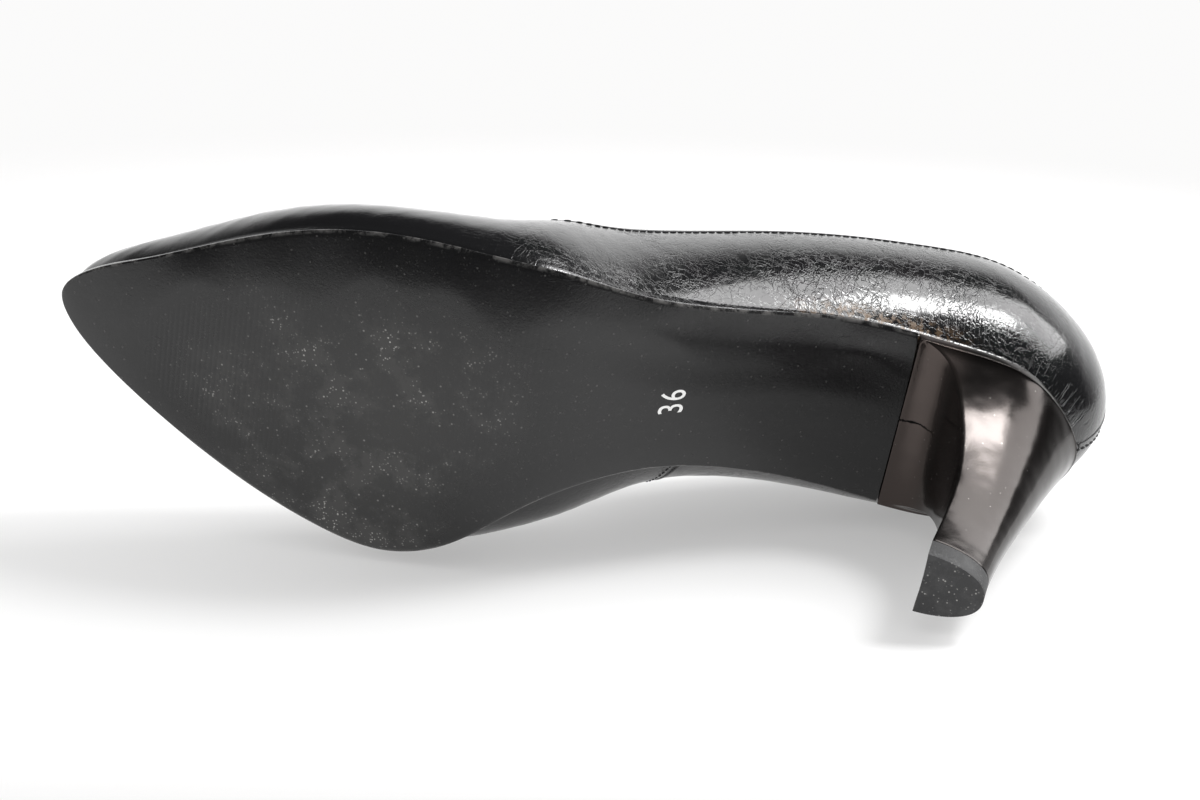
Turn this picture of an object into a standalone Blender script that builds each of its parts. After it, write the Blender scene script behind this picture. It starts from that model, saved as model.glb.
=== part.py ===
"""High heel pump: a left court shoe with a pointed toe and a slim moulded heel.

Frame: +Z up, toe towards -Y, outer (lateral) side towards +X, standing on ball and heel tip.
Sizes are in millimetres and become metres when a mesh is made. "Back" is the distance behind
the toe tip, "side" the distance outwards from the heel's centre line, and "level" the distance
above the sole's underside, square to it.
"""

import math

import bmesh
import bpy
import numpy as np
from mathutils import Matrix, Vector

MM = 0.001
GAP = 0.3
SOLE_GAP = 0.45

# Bottom of the shoe
SOLE_LENGTH = 218.0
SOLE_WIDTH = 78.2
HEEL_RISE = 62.0
TOE_SPRING = 8.0
TREAD_FRONT = 70.0
TREAD_BACK = 88.0
BEND_LENGTH = 40.0
SEAT_START = 150.0
SEAT_SLOPE = 0.25
BREAST_BACK = 178.6

# Layers, from the outside inwards and from the ground up
SOLE_THICK = 2.2
UPPER_THICK = 1.0
STIFF_THICK = 0.6
LINING_THICK = 0.7
INSOLE_THICK = 1.6
FOAM_THICK = 2.0
SOCK_THICK = 0.8
SOCK_FRONT = 8.0
SOLE_PROUD = 0.4
FLANGE_WIDTH = 7.0

# Upper
THROAT_BACK = 78.0
SIDE_SEAM_BACK = 140.0
SEAM_GAP = 0.4
SEAM_ROW = 1.6
TOE_PUFF_BACK = 32.0
COUNTER_FRONT = 168.0
GRIP_FRONT = 175.0

# Heel
TIP_WIDTH = 14.8
TIP_DEPTH = 13.2
TIP_FRONT = 193.8
LIFT_THICK = 5.0
DOWEL_RADIUS = 1.8
DOWEL_BORE = 0.9
DOWEL_TOP = 37.0
PIN_RADIUS = 0.6
PIN_RISE = 12.0
PIN_FOOT = 1.5

# Shank, screw, nails, thread
SHANK_WIDTH = 11.0
SHANK_THICK = 1.1
BOARD_THICK = 1.5
SHANK_FRONT = 100.0
SHANK_BACK = 200.0
BOARD_WIDTH = 20.0
BOARD_FRONT = 96.0
RIVET_RADIUS = 1.5
RIVET_BACKS = (108.0, 176.0)
SCREW_RADIUS = 1.8
SCREW_LENGTH = 19.0
SCREW_HEAD_RADIUS = 3.4
SCREW_BACK = 197.0
NAIL_RADIUS = 0.9
NAIL_HEAD_RADIUS = 1.8
NAIL_LENGTH = 10.0
NAIL_SIDE = 7.2
NAIL_BACKS = (191.0, 200.0)
THREAD_RADIUS = 0.3
STITCH_INSET = 1.6
TAPE_WIDTH = 1.8
TAPE_THICK = 0.3
TAPE_CLEAR = 0.2
THREAD_LIFT = 0.51
HEAD_SUNK = 0.2
CUT_OVERLAP = 0.1
SPINE_ENDS = 17.0

# Levels of the layers' faces
UPPER_OUT = 3 * GAP + LINING_THICK + STIFF_THICK + UPPER_THICK
STIFF_OUT = 2 * GAP + LINING_THICK + STIFF_THICK
LINING_OUT = GAP + LINING_THICK
INSOLE_LEVEL = SOLE_THICK + SOLE_GAP + UPPER_OUT
BOARD_LEVEL = INSOLE_LEVEL + 0.5 * GAP
FOAM_LEVEL = BOARD_LEVEL + INSOLE_THICK + GAP
SOCK_LEVEL = FOAM_LEVEL + FOAM_THICK + GAP
FORM_INSET = SOLE_PROUD + UPPER_OUT

# Sole outline: (share of the length behind the toe, share of the width to the side)
OUTER_EDGE = ((0.025, 0.126), (0.085, 0.233), (0.166, 0.369), (0.282, 0.520), (0.42, 0.575),
              (0.51, 0.553), (0.59, 0.46), (0.73, 0.361), (0.85, 0.290), (0.93, 0.243), (0.980, 0.125))
INNER_EDGE = ((0.016, -0.050), (0.051, -0.123), (0.170, -0.287), (0.30, -0.408), (0.37, -0.425),
              (0.43, -0.355), (0.52, -0.150), (0.60, -0.084), (0.71, -0.155), (0.82, -0.262),
              (0.93, -0.243), (0.980, -0.125))
TOE_SIDE = 1.5

# Ridge of the form over vamp, instep and heel: (place, back, height)
RIDGE = ((0.0, 9.0, 18.5), (0.19, 38.0, 30.0), (0.373, 78.0, 43.0), (0.50, 98.0, 64.0),
         (0.62, 116.0, 86.0), (0.75, 142.0, 106.0), (0.88, 170.0, 121.0), (1.0, 190.0, 128.0))
RIDGE_SIDE = ((0.0, 1.5), (0.37, 0.5), (0.6, 4.0), (1.0, 0.0))

# Swell of the walls: (place, out and up at the feather edge, sideways at the ridge)
OUTER_SWELL = ((0.0, 2.0, 2.5, 5.0), (0.12, 4.0, 7.0, 12.0), (0.25, 5.0, 12.0, 20.0), (0.37, 3.5, 14.0, 21.0),
               (0.50, 4.0, 20.0, 18.0), (0.62, 8.0, 24.0, 11.0), (0.80, 19.0, 26.0, 0.0),
               (0.92, 23.0, 26.0, 0.0), (1.0, 26.0, 26.0, 0.0))
INNER_SWELL = ((0.0, 2.0, 2.5, 5.0), (0.12, 3.0, 7.0, 12.0), (0.25, 4.0, 13.0, 18.0), (0.37, 8.0, 16.0, 20.0),
               (0.50, 34.0, 15.0, 18.0), (0.62, 45.0, 17.0, 12.0), (0.80, 36.0, 21.0, 0.0),
               (0.92, 30.0, 25.0, 0.0), (1.0, 26.0, 26.0, 0.0))

# Edge of the opening: (share of the way from throat to heel back, share of the wall's curve)
OUTER_OPENING = ((0.0, 0.47), (0.25, 0.44), (0.6, 0.42), (1.0, 0.50))
INNER_OPENING = ((0.0, 0.47), (0.25, 0.46), (0.6, 0.45), (1.0, 0.50))
THROAT_ROUND = 0.25

# Profiles of the heel, tip to seat: (share of the rings, share of the reach, share of the height)
HEEL_FRONT = ((0.0, 0.0, 0.0), (0.3, -0.066, 0.314), (0.55, -0.02, 0.587), (0.75, 0.224, 0.807),
              (0.9, 0.592, 0.939), (1.0, 1.0, 1.0))
HEEL_BACK = ((0.0, 0.0, 0.0), (0.3, 0.143, 0.246), (0.55, 0.41, 0.51), (0.75, 0.68, 0.73),
             (0.9, 0.91, 0.905), (1.0, 1.0, 1.0))
HEEL_HALF = ((0.0, 0.0), (0.3, 0.05), (0.55, 0.24), (0.75, 0.53), (0.9, 0.84), (1.0, 1.0))
HEEL_HOLLOW = 1.5
HEEL_RINGS = 11
HEEL_COLUMNS = 8
FRONT_COLUMNS = 4

SIDE_COLUMNS = 28
WALL_ROWS = 8


# ---- smooth curves ------------------------------------------------------------------------

def closed_spline(points):
    """Smooth closed curve through the points: a periodic cubic in chord length, as a function."""
    points = np.array(points, float)
    steps = np.linalg.norm(np.roll(points, -1, axis=0) - points, axis=1)
    count = len(points)
    after = np.roll(np.arange(count), -1)
    before = np.roll(np.arange(count), 1)
    system = np.zeros((count, count))
    rows = np.arange(count)
    system[rows, before] += steps[before]
    system[rows, rows] += 2 * (steps[before] + steps)
    system[rows, after] += steps
    slopes = (points[after] - points) / steps[:, None]
    bends = np.linalg.solve(system, 6 * (slopes - slopes[before]))
    knots = np.concatenate([[0], np.cumsum(steps)])

    def curve(at):
        at = np.mod(np.asarray(at, float), knots[-1])
        k = np.clip(np.searchsorted(knots, at, side="right") - 1, 0, count - 1)
        h = steps[k][..., None]
        b = (at - knots[k])[..., None] / h
        a = 1 - b
        ends = a * points[k] + b * points[after[k]]
        return ends + ((a**3 - a) * bends[k] + (b**3 - b) * bends[after[k]]) * h * h / 6

    return curve, knots


def unit(vectors):
    return vectors / np.maximum(np.linalg.norm(vectors, axis=-1, keepdims=True), 1e-9)


# ---- bottom profile -----------------------------------------------------------------------

def ramp(t):
    """A line that starts flat and reaches slope 1 at t = 1."""
    t = np.maximum(t, 0)
    return np.where(t < 1, t**3 - t**4 / 2, t - 0.5)


def ramp_slope(t):
    t = np.clip(t, 0, 1)
    return t * t * (3 - 2 * t)


def rise(back):
    climb = BEND_LENGTH * ramp((back - TREAD_BACK) / BEND_LENGTH)
    ease = (1 - SEAT_SLOPE) * BEND_LENGTH * ramp((back - SEAT_START) / BEND_LENGTH)
    return climb - ease


WAIST_SLOPE = HEEL_RISE / float(rise(np.array(SOLE_LENGTH)))


def bottom_height(back):
    """Height of the sole's underside: toe spring, flat tread, bend, waist and heel seat."""
    spring = np.clip(TREAD_FRONT - back, 0, None) / TREAD_FRONT
    return WAIST_SLOPE * rise(back) + TOE_SPRING * spring**2.2


def bottom_normal(back):
    spring = np.clip(TREAD_FRONT - back, 0, None) / TREAD_FRONT
    slope = WAIST_SLOPE * (ramp_slope((back - TREAD_BACK) / BEND_LENGTH)
                           - (1 - SEAT_SLOPE) * ramp_slope((back - SEAT_START) / BEND_LENGTH))
    slope = slope - 2.2 * TOE_SPRING / TREAD_FRONT * spring**1.2
    flat = np.zeros_like(slope)
    return unit(np.stack([flat, -slope, np.ones_like(slope)], axis=-1))


def bottom_point(side, back, level):
    """Point at a level above the sole's underside, as (side, back, height)."""
    back = np.asarray(back, float)
    base = np.stack([side + 0 * back, back, bottom_height(back)], axis=-1)
    return base + bottom_normal(back) * np.asarray(level, float)[..., None]


# ---- outlines -----------------------------------------------------------------------------

def share_points(table):
    return [(side * SOLE_WIDTH, back * SOLE_LENGTH) for back, side in table]


outer_points = share_points(OUTER_EDGE)
inner_points = share_points(INNER_EDGE)
EDGE, EDGE_KNOTS = closed_spline([(TOE_SIDE, 0.0)] + outer_points + [(0.0, SOLE_LENGTH)] + inner_points[::-1])
EDGE_BACK = EDGE_KNOTS[len(outer_points) + 1]
EDGE_END = EDGE_KNOTS[-1]


def edge_at(place):
    """Sole edge as (side, back). Place is 0 at the toe, 1 at the heel back along the outer side,
    and -1 there along the inner side."""
    place = np.mod(np.asarray(place, float) + 1, 2) - 1
    inner_length = EDGE_END - EDGE_BACK
    return EDGE(np.where(place >= 0, place * EDGE_BACK, place * inner_length))


def edge_outward(place):
    step = 1e-4
    along = unit(edge_at(place + step) - edge_at(place - step))
    return np.stack([along[..., 1], -along[..., 0]], axis=-1)


DENSE = np.linspace(0, 1, 2001)


def place_of(back, outer):
    """Place on the outer or inner edge that lies this far behind the toe."""
    sign = 1 if outer else -1
    return sign * np.interp(back, edge_at(sign * DENSE)[:, 1], DENSE)


THROAT_PLACE = float(place_of(THROAT_BACK, True))


def open_spline(table):
    """Smooth curve through rows of (place, values), straight at its ends, as a function."""
    rows = np.array(table, float)
    places, values = rows[:, 0], rows[:, 1:]
    steps = np.diff(places)[:, None]
    slopes = np.diff(values, axis=0) / steps
    inner = len(places) - 2
    shared = steps[1:-1, 0]
    system = np.diag(2 * (steps[:-1, 0] + steps[1:, 0])) + np.diag(shared, 1) + np.diag(shared, -1)
    bends = np.zeros_like(values)
    bends[1:-1] = np.linalg.solve(system.reshape(inner, inner), 6 * np.diff(slopes, axis=0))

    def curve(at):
        k = np.clip(np.searchsorted(places, at, side="right") - 1, 0, inner)
        h = steps[k]
        b = (np.asarray(at, float) - places[k])[..., None] / h
        a = 1 - b
        line = a * values[k] + b * values[k + 1]
        return line + ((a**3 - a) * bends[k] + (b**3 - b) * bends[k + 1]) * h * h / 6

    return curve


RIDGE_LINE = open_spline(RIDGE)
RIDGE_SIDES = open_spline(RIDGE_SIDE)
OUTER_WALL = open_spline(OUTER_SWELL)
INNER_WALL = open_spline(INNER_SWELL)
OUTER_EDGE_SHARE = open_spline(OUTER_OPENING)
INNER_EDGE_SHARE = open_spline(INNER_OPENING)


def ridge_at(place):
    """Centre line of the form's top, from the toe cap over vamp and instep to the heel."""
    place = np.abs(place)
    return np.concatenate([RIDGE_SIDES(place), RIDGE_LINE(place)], axis=-1)


def opening_at(place):
    """Where the upper ends above this place of the foot, as (place, share of the wall's curve).
    Share 1 along the vamp, where both sides meet, then round the throat as a quarter ellipse whose
    columns fan out, and along the opening."""
    side = np.abs(place)
    share = np.clip((side - THROAT_PLACE) / (1 - THROAT_PLACE), 0, 1)
    turn = 0.5 * math.pi * np.clip(share / THROAT_ROUND, 0, 1)
    share = np.where(share < THROAT_ROUND, THROAT_ROUND * (1 - np.cos(turn)), share)
    low = np.where(place >= 0, OUTER_EDGE_SHARE(share)[..., 0], INNER_EDGE_SHARE(share)[..., 0])
    height = np.where(side <= THROAT_PLACE, 1.0, low + (1 - OUTER_OPENING[0][1]) * (1 - np.sin(turn)))
    top = np.where(side <= THROAT_PLACE, side, THROAT_PLACE + (1 - THROAT_PLACE) * share)
    return np.where(place >= 0, top, -top), height


# ---- upper surface ------------------------------------------------------------------------

def top_direction(place):
    """Direction in which the wall leaves the ridge: forwards at the toe, backwards at the heel,
    and sideways between them."""
    side = np.abs(place)
    sign = np.where(place >= 0, 1.0, -1.0)
    step = 1e-3
    along = unit(ridge_at(np.minimum(side + step, 1)) - ridge_at(np.maximum(side - step, 0)))
    toe, heel = (0.5 * math.pi * np.sin(0.5 * math.pi * np.clip(t / 0.2, 0, 1)) for t in (side, 1 - side))
    across = np.stack([sign, 0 * sign, 0 * sign], axis=-1)
    return unit(across * (np.sin(toe) * np.sin(heel))[..., None]
                + along * (np.cos(heel) - np.cos(toe))[..., None])


def form(place, height):
    """The lasted form: at each place round the edge, a cubic wall from the feather edge up to the
    form's ridge. Height runs from 0 to 1."""
    place, height = np.broadcast_arrays(np.asarray(place, float), np.asarray(height, float))
    place = np.mod(place + 1, 2) - 1
    side = np.abs(place)
    out = edge_outward(place)
    inset = edge_at(place) - FORM_INSET * out
    foot = bottom_point(inset[..., 0], inset[..., 1], np.full(side.shape, INSOLE_LEVEL))
    top = ridge_at(place)
    out = np.concatenate([out, 0 * out[..., :1]], axis=-1)
    swell = np.where((place >= 0)[..., None], OUTER_WALL(side), INNER_WALL(side))
    upward = bottom_normal(inset[..., 1])
    first = foot + out * swell[..., 0:1] + upward * swell[..., 1:2]
    second = top + top_direction(place) * swell[..., 2:3]
    v = height[..., None]
    u = 1 - v
    return u**3 * foot + 3 * u * u * v * first + 3 * u * v * v * second + v**3 * top


def form_normal(place, height):
    step = 2e-4
    low = np.clip(height - step, 0, 1)
    high = np.clip(height + step, 0, 1)
    along = form(place + step, height) - form(place - step, height)
    up = form(place, high) - form(place, low)
    normal = unit(np.cross(along, up))
    side = np.abs(np.mod(np.asarray(place) + 1, 2) - 1)
    ridge = unit(ridge_at(np.clip(side + 1e-3, 0, 1)) - ridge_at(np.clip(side - 1e-3, 0, 1)))
    crown = unit(np.stack([0 * side, -ridge[..., 2], ridge[..., 1]], axis=-1))
    return np.where((height > 1 - 1e-9)[..., None], crown, normal)


def layer_point(place, height, out):
    """Point of a layer that lies this far outside the form."""
    return form(place, height) + form_normal(place, height) * out


def corner_point(place, out):
    """Feather corner of a layer, where its wall turns under."""
    edge = edge_at(place) - (FORM_INSET - out) * edge_outward(place)
    return bottom_point(edge[..., 0], edge[..., 1], np.full(edge.shape[:-1], INSOLE_LEVEL - out))


def spine_at(edge):
    """Point on the centre line of the bottom that an edge point is drawn towards."""
    back = np.clip(edge[..., 1], SPINE_ENDS, SOLE_LENGTH - SPINE_ENDS - 1)
    middle = 0.5 * (edge_at(place_of(back, True)) + edge_at(place_of(back, False)))[..., 0]
    return np.stack([middle, back], axis=-1)


def flange_point(place, out, width=FLANGE_WIDTH):
    """Inner end of a lasting margin."""
    edge = edge_at(place)
    inset = edge - FORM_INSET * edge_outward(place)
    way = spine_at(edge) - inset
    reach = np.linalg.norm(way, axis=-1, keepdims=True)
    inset = inset + way / reach * np.minimum(width, 0.55 * reach)
    return bottom_point(inset[..., 0], inset[..., 1], np.full(reach.shape[:-1], INSOLE_LEVEL - out))


# ---- building meshes ----------------------------------------------------------------------

LAYER_ENDS = ((TOE_PUFF_BACK, True), (COUNTER_FRONT, True), (GRIP_FRONT, True), (SIDE_SEAM_BACK, False))
COLUMN_CLEAR = 0.012


def shared_columns():
    """Places of the grid columns that all layers share: closer together at the toe and the heel,
    with extra ones where the opening turns round the throat."""
    even = np.arange(0, SIDE_COLUMNS + 1) / SIDE_COLUMNS
    even = 0.45 * even + 0.275 * (1 - np.cos(math.pi * even))
    throat = THROAT_PLACE + (1 - THROAT_PLACE) * THROAT_ROUND * np.arange(-0.4, 1.1, 0.2)
    ends = [abs(float(place_of(back, outer))) for back, outer in LAYER_ENDS]
    fixed = np.concatenate([throat, ends, [THROAT_PLACE - COLUMN_CLEAR]])
    clear = np.min(np.abs(even[:, None] - fixed), axis=1) > COLUMN_CLEAR
    one_side = np.sort(np.concatenate([even[clear], fixed]))
    both = np.unique(np.concatenate([-one_side, one_side]))
    return np.concatenate([both, both[1:] + 2])


COLUMNS = shared_columns()


def columns_between(start, end):
    inside = COLUMNS[(COLUMNS > start + 0.5 * COLUMN_CLEAR) & (COLUMNS < end - 0.5 * COLUMN_CLEAR)]
    return np.concatenate([[start], inside, [end]])


def place_object(name, mesh, material, collection):
    mesh.materials.clear()
    mesh.materials.append(material)
    part = bpy.data.objects.new(name, mesh)
    collection.objects.link(part)
    part.parent = SHOE
    return part


def finish_mesh(shape, name):
    """Merges doubled points, and shades smooth with sharp edges kept."""
    bmesh.ops.remove_doubles(shape, verts=shape.verts, dist=0.02 * MM)
    mesh = bpy.data.meshes.new(name)
    shape.to_mesh(mesh)
    shape.free()
    mesh.shade_smooth()
    mesh.set_sharp_from_angle(angle=math.radians(35))
    return mesh


def add_quads(shape, points, wrap=False):
    """Quads between neighbouring rows of points. With wrap, each row is a closed ring."""
    rows = [[shape.verts.new(tuple(point)) for point in row] for row in np.asarray(points) * MM]
    for low, high in zip(rows[:-1], rows[1:]):
        if wrap:
            low, high = low + low[:1], high + high[:1]
        for j in range(len(low) - 1):
            shape.faces.new((low[j], low[j + 1], high[j + 1], high[j]))
    return rows


def add_wall(part, thickness, offset):
    """Thickness behind the surface with offset -1, in front of it with offset 1."""
    wall = part.modifiers.new("wall", "SOLIDIFY")
    wall.thickness = thickness * MM
    wall.offset = offset
    wall.use_even_offset = True
    wall.use_quality_normals = True


def split_quads(shape):
    """Triangles whose diagonals run with the fans of columns at the toe and beside the throat, and
    alike in every layer, so that the layers stay parallel."""
    centres = [(face, face.calc_center_median() / MM) for face in shape.faces]
    turned = [face for face, centre in centres if (centre.x < TOE_SIDE) == (centre.y > TOE_PUFF_BACK)]
    bmesh.ops.triangulate(shape, faces=turned, quad_method="ALTERNATE")
    others = [face for face in shape.faces if len(face.verts) == 4]
    bmesh.ops.triangulate(shape, faces=others, quad_method="FIXED")


def shell(name, material, spans, out, thickness):
    """A layer of the upper over one or more spans of places, its outer face this far outside the
    form. Its margin turns under the insole, and both sides join along the ridge of the vamp."""
    joined = bmesh.new()
    for start, end in spans:
        places = columns_between(start, end)
        rows = [flange_point(places, out), corner_point(places, out)]
        feet = np.mod(places + 1, 2) - 1
        tops, heights = opening_at(feet)
        for share in 1 - np.linspace(1, 0, WALL_ROWS + 1)[1:] ** 1.25:
            rows.append(layer_point(feet + (tops - feet) * share, heights * share, out))
        add_quads(joined, rows)
    split_quads(joined)
    part = place_object(name, finish_mesh(joined, name), material, PARTS)
    add_wall(part, thickness, -1)
    return part


def opening_line(out, inset):
    """Closed line round the opening, this far outside the form and this far below the edge."""
    places = columns_between(THROAT_PLACE, 2 - THROAT_PLACE)[:-1]
    places, share = opening_at(np.mod(places + 1, 2) - 1)
    edge = form(places, share)
    along = unit(np.roll(edge, -1, axis=0) - np.roll(edge, 1, axis=0))
    normal = form_normal(places, share)
    return edge + normal * out + unit(np.cross(along, normal)) * inset


def outline_sides(inset):
    """Sides of the sole's outline moved in by an inset, as two functions of back, and the range
    of back between which it has a width."""
    dense = np.linspace(0, 1, 1201)
    sides = []
    for sign in (1, -1):
        edge = edge_at(sign * dense) - inset * edge_outward(sign * dense)
        rising = edge[:, 1] >= np.maximum.accumulate(edge[:, 1])
        sides.append(edge[rising])
    backs = np.linspace(0, SOLE_LENGTH, 4001)
    outer = np.interp(backs, sides[0][:, 1], sides[0][:, 0])
    inner = np.interp(backs, sides[1][:, 1], sides[1][:, 0])
    first = max(sides[0][0, 1], sides[1][0, 1])
    last = min(sides[0][-1, 1], sides[1][-1, 1])
    wide = (outer - inner > 0.5) & (backs > first) & (backs < last)
    return backs[wide], outer[wide], inner[wide]


def plate(name, material, level, thickness, inset, front=0.0, back=SOLE_LENGTH, width=200.0, stations=34):
    """A flat layer of the bottom that follows the sole's outline at an inset, from a level up."""
    backs, outer, inner = outline_sides(inset)
    front = max(front, backs[0])
    back = min(back, backs[-1])
    even = np.linspace(0, 1, stations)
    at = front + (back - front) * (0.4 * even + 0.3 * (1 - np.cos(math.pi * even)))
    at = np.unique(np.concatenate([at, [b for b in (TREAD_FRONT, TREAD_BACK) if front < b < back]]))
    left = np.interp(at, backs, outer)
    right = np.interp(at, backs, inner)
    middle = 0.5 * (left + right)
    half = np.minimum(0.5 * (left - right), 0.5 * width)
    levels = np.full(len(at), level)
    rows = [bottom_point(middle + sign * half, at, levels) for sign in (1, 0, -1)]
    shape = bmesh.new()
    add_quads(shape, rows)
    part = place_object(name, finish_mesh(shape, name), material, PARTS)
    add_wall(part, thickness, 1)
    return part


def seat_frame(side, back, level):
    """Matrix whose Z is square to the bottom at this place."""
    origin = bottom_point(side, np.array(float(back)), np.array(float(level)))
    normal = bottom_normal(np.array(float(back)))
    turn = Vector((0, 0, 1)).rotation_difference(Vector(normal)).to_matrix().to_4x4()
    return Matrix.Translation(Vector(origin * MM)) @ turn


def cylinder(name, material, collection, frame, radius, low, high, sides=16):
    """Cylinder along the frame's Z from low to high."""
    shape = bmesh.new()
    centred = frame @ Matrix.Translation((0, 0, 0.5 * (low + high) * MM))
    bmesh.ops.create_cone(shape, cap_ends=True, segments=sides, radius1=radius * MM,
                          radius2=radius * MM, depth=(high - low) * MM, matrix=centred)
    mesh = finish_mesh(shape, name)
    return place_object(name, mesh, material, collection)


def combine(part, other, operation):
    other.hide_render = True
    other.display_type = "WIRE"
    change = part.modifiers.new(other.name, "BOOLEAN")
    change.operation = operation
    change.object = other


def drill(part, name, frame, radius, low, high):
    combine(part, cylinder(name, CUTTER_MATERIAL, CUTTERS, frame, radius, low, high), "DIFFERENCE")


def thread(name, material, points, closed=False, radius=THREAD_RADIUS):
    """Sewing thread along a line of points."""
    data = bpy.data.curves.new(name, "CURVE")
    data.dimensions = "3D"
    data.bevel_depth = radius * MM
    data.bevel_resolution = 1
    data.use_fill_caps = True
    line = data.splines.new("POLY")
    line.points.add(len(points) - 1)
    for knot, point in zip(line.points, np.asarray(points) * MM):
        knot.co = (*point, 1.0)
    line.use_cyclic_u = closed
    data.materials.append(material)
    part = bpy.data.objects.new(name, data)
    PARTS.objects.link(part)
    part.parent = SHOE
    return part


# ---- materials ----------------------------------------------------------------------------

def finish(name, colour, roughness, metallic=0.0):
    material = bpy.data.materials.new(name)
    material.use_nodes = True
    shader = material.node_tree.nodes["Principled BSDF"]
    shader.inputs["Base Color"].default_value = (*colour, 1.0)
    shader.inputs["Roughness"].default_value = roughness
    shader.inputs["Metallic"].default_value = metallic
    return material


# ---- scene --------------------------------------------------------------------------------

for leftover in list(bpy.data.objects):
    bpy.data.objects.remove(leftover, do_unlink=True)
PARTS = bpy.data.collections.new("high_heel_pump")
CUTTERS = bpy.data.collections.new("cutters")
bpy.context.scene.collection.children.link(PARTS)
bpy.context.scene.collection.children.link(CUTTERS)
SHOE = bpy.data.objects.new("shoe", None)
PARTS.objects.link(SHOE)

PATENT = finish("patent_upper", (0.012, 0.012, 0.013), 0.16)
LINING = finish("lining", (0.50, 0.36, 0.25), 0.6)
SOCK = finish("sock", (0.52, 0.38, 0.27), 0.55)
STIFFENER = finish("stiffener", (0.62, 0.58, 0.50), 0.8)
FABRIC = finish("backing_fabric", (0.75, 0.73, 0.68), 0.9)
FOAM = finish("foam", (0.82, 0.80, 0.72), 0.95)
BOARD = finish("fibre_board", (0.42, 0.30, 0.19), 0.85)
CORK = finish("filler", (0.35, 0.24, 0.14), 0.9)
STEEL = finish("steel", (0.55, 0.55, 0.57), 0.35, 1.0)
THREAD = finish("black_thread", (0.02, 0.02, 0.02), 0.7)
OUTSOLE = finish("black_outsole", (0.03, 0.03, 0.032), 0.45)
HEEL_COAT = finish("gunmetal_coating", (0.16, 0.15, 0.15), 0.18, 0.9)
TOP_PIECE = finish("black_rubber", (0.035, 0.035, 0.035), 0.75)
CUTTER_MATERIAL = finish("cutter", (0.8, 0.1, 0.1), 0.5)


def build_upper():
    """Outer pieces, stiffening and lining, each a layer over the same form."""
    seam = float(place_of(SIDE_SEAM_BACK, False))
    gap = 0.5 * SEAM_GAP / EDGE_BACK
    puff = float(place_of(TOE_PUFF_BACK, True))
    counter = float(place_of(COUNTER_FRONT, True))
    grip = float(place_of(GRIP_FRONT, True))
    shell("vamp_outer_quarter", PATENT, [(seam + gap, 1 - gap)], UPPER_OUT, UPPER_THICK)
    shell("inner_quarter", PATENT, [(1 + gap, 2 + seam - gap)], UPPER_OUT, UPPER_THICK)
    shell("toe_puff", STIFFENER, [(-puff, puff)], STIFF_OUT, STIFF_THICK)
    backer_spans = [(puff + gap, counter - gap), (gap - counter, -puff - gap)]
    backer = shell("vamp_backer", FABRIC, backer_spans, STIFF_OUT, STIFF_THICK)
    stiff = shell("heel_counter", STIFFENER, [(counter + gap, 2 - counter - gap)], STIFF_OUT, STIFF_THICK)
    shell("vamp_lining", LINING, [(gap - grip, grip - gap)], LINING_OUT, LINING_THICK)
    shell("heel_grip", LINING, [(grip + gap, 2 - grip - gap)], LINING_OUT, LINING_THICK)

    middle = STIFF_OUT - 0.5 * STIFF_THICK
    room_radius = TAPE_WIDTH + GAP + TAPE_CLEAR
    clearance = thread("tape_room", CUTTER_MATERIAL, opening_line(middle, 0.0), True, room_radius)
    room = as_mesh(clearance, CUTTERS)
    for layer in (backer, stiff):
        combine(layer, room, "DIFFERENCE")

    shape = bmesh.new()
    tape_out = middle + 0.6 * TAPE_THICK
    add_quads(shape, [opening_line(tape_out, TAPE_WIDTH), opening_line(tape_out, GAP)], wrap=True)
    tape = place_object("topline_tape", finish_mesh(shape, "topline_tape"), FABRIC, PARTS)
    add_wall(tape, TAPE_THICK, -1)

    outside = UPPER_OUT + THREAD_LIFT + THREAD_RADIUS
    thread("topline_thread", THREAD, opening_line(outside, STITCH_INSET), closed=True)
    heights = np.linspace(0.14, 0.88, 8)
    row = gap + SEAM_ROW / EDGE_BACK
    for name, place in (("side_seam_thread", seam + row), ("back_seam_thread", row - 1)):
        places = np.full(len(heights), place)
        thread(name, THREAD, layer_point(places, heights * opening_at(places)[1], outside))


def as_mesh(curve, collection):
    """The curve's solid as a mesh object, which a Boolean can use."""
    graph = bpy.context.evaluated_depsgraph_get()
    mesh = bpy.data.meshes.new_from_object(curve.evaluated_get(graph))
    solid = bpy.data.objects.new(curve.name + "_solid", mesh)
    solid.matrix_world = curve.matrix_world
    solid.parent = SHOE
    collection.objects.link(solid)
    shape = bmesh.new()
    shape.from_mesh(mesh)
    bmesh.ops.remove_doubles(shape, verts=shape.verts, dist=0.01 * MM)
    bmesh.ops.recalc_face_normals(shape, faces=shape.faces)
    shape.to_mesh(mesh)
    shape.free()
    bpy.data.objects.remove(curve, do_unlink=True)
    return solid


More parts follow.
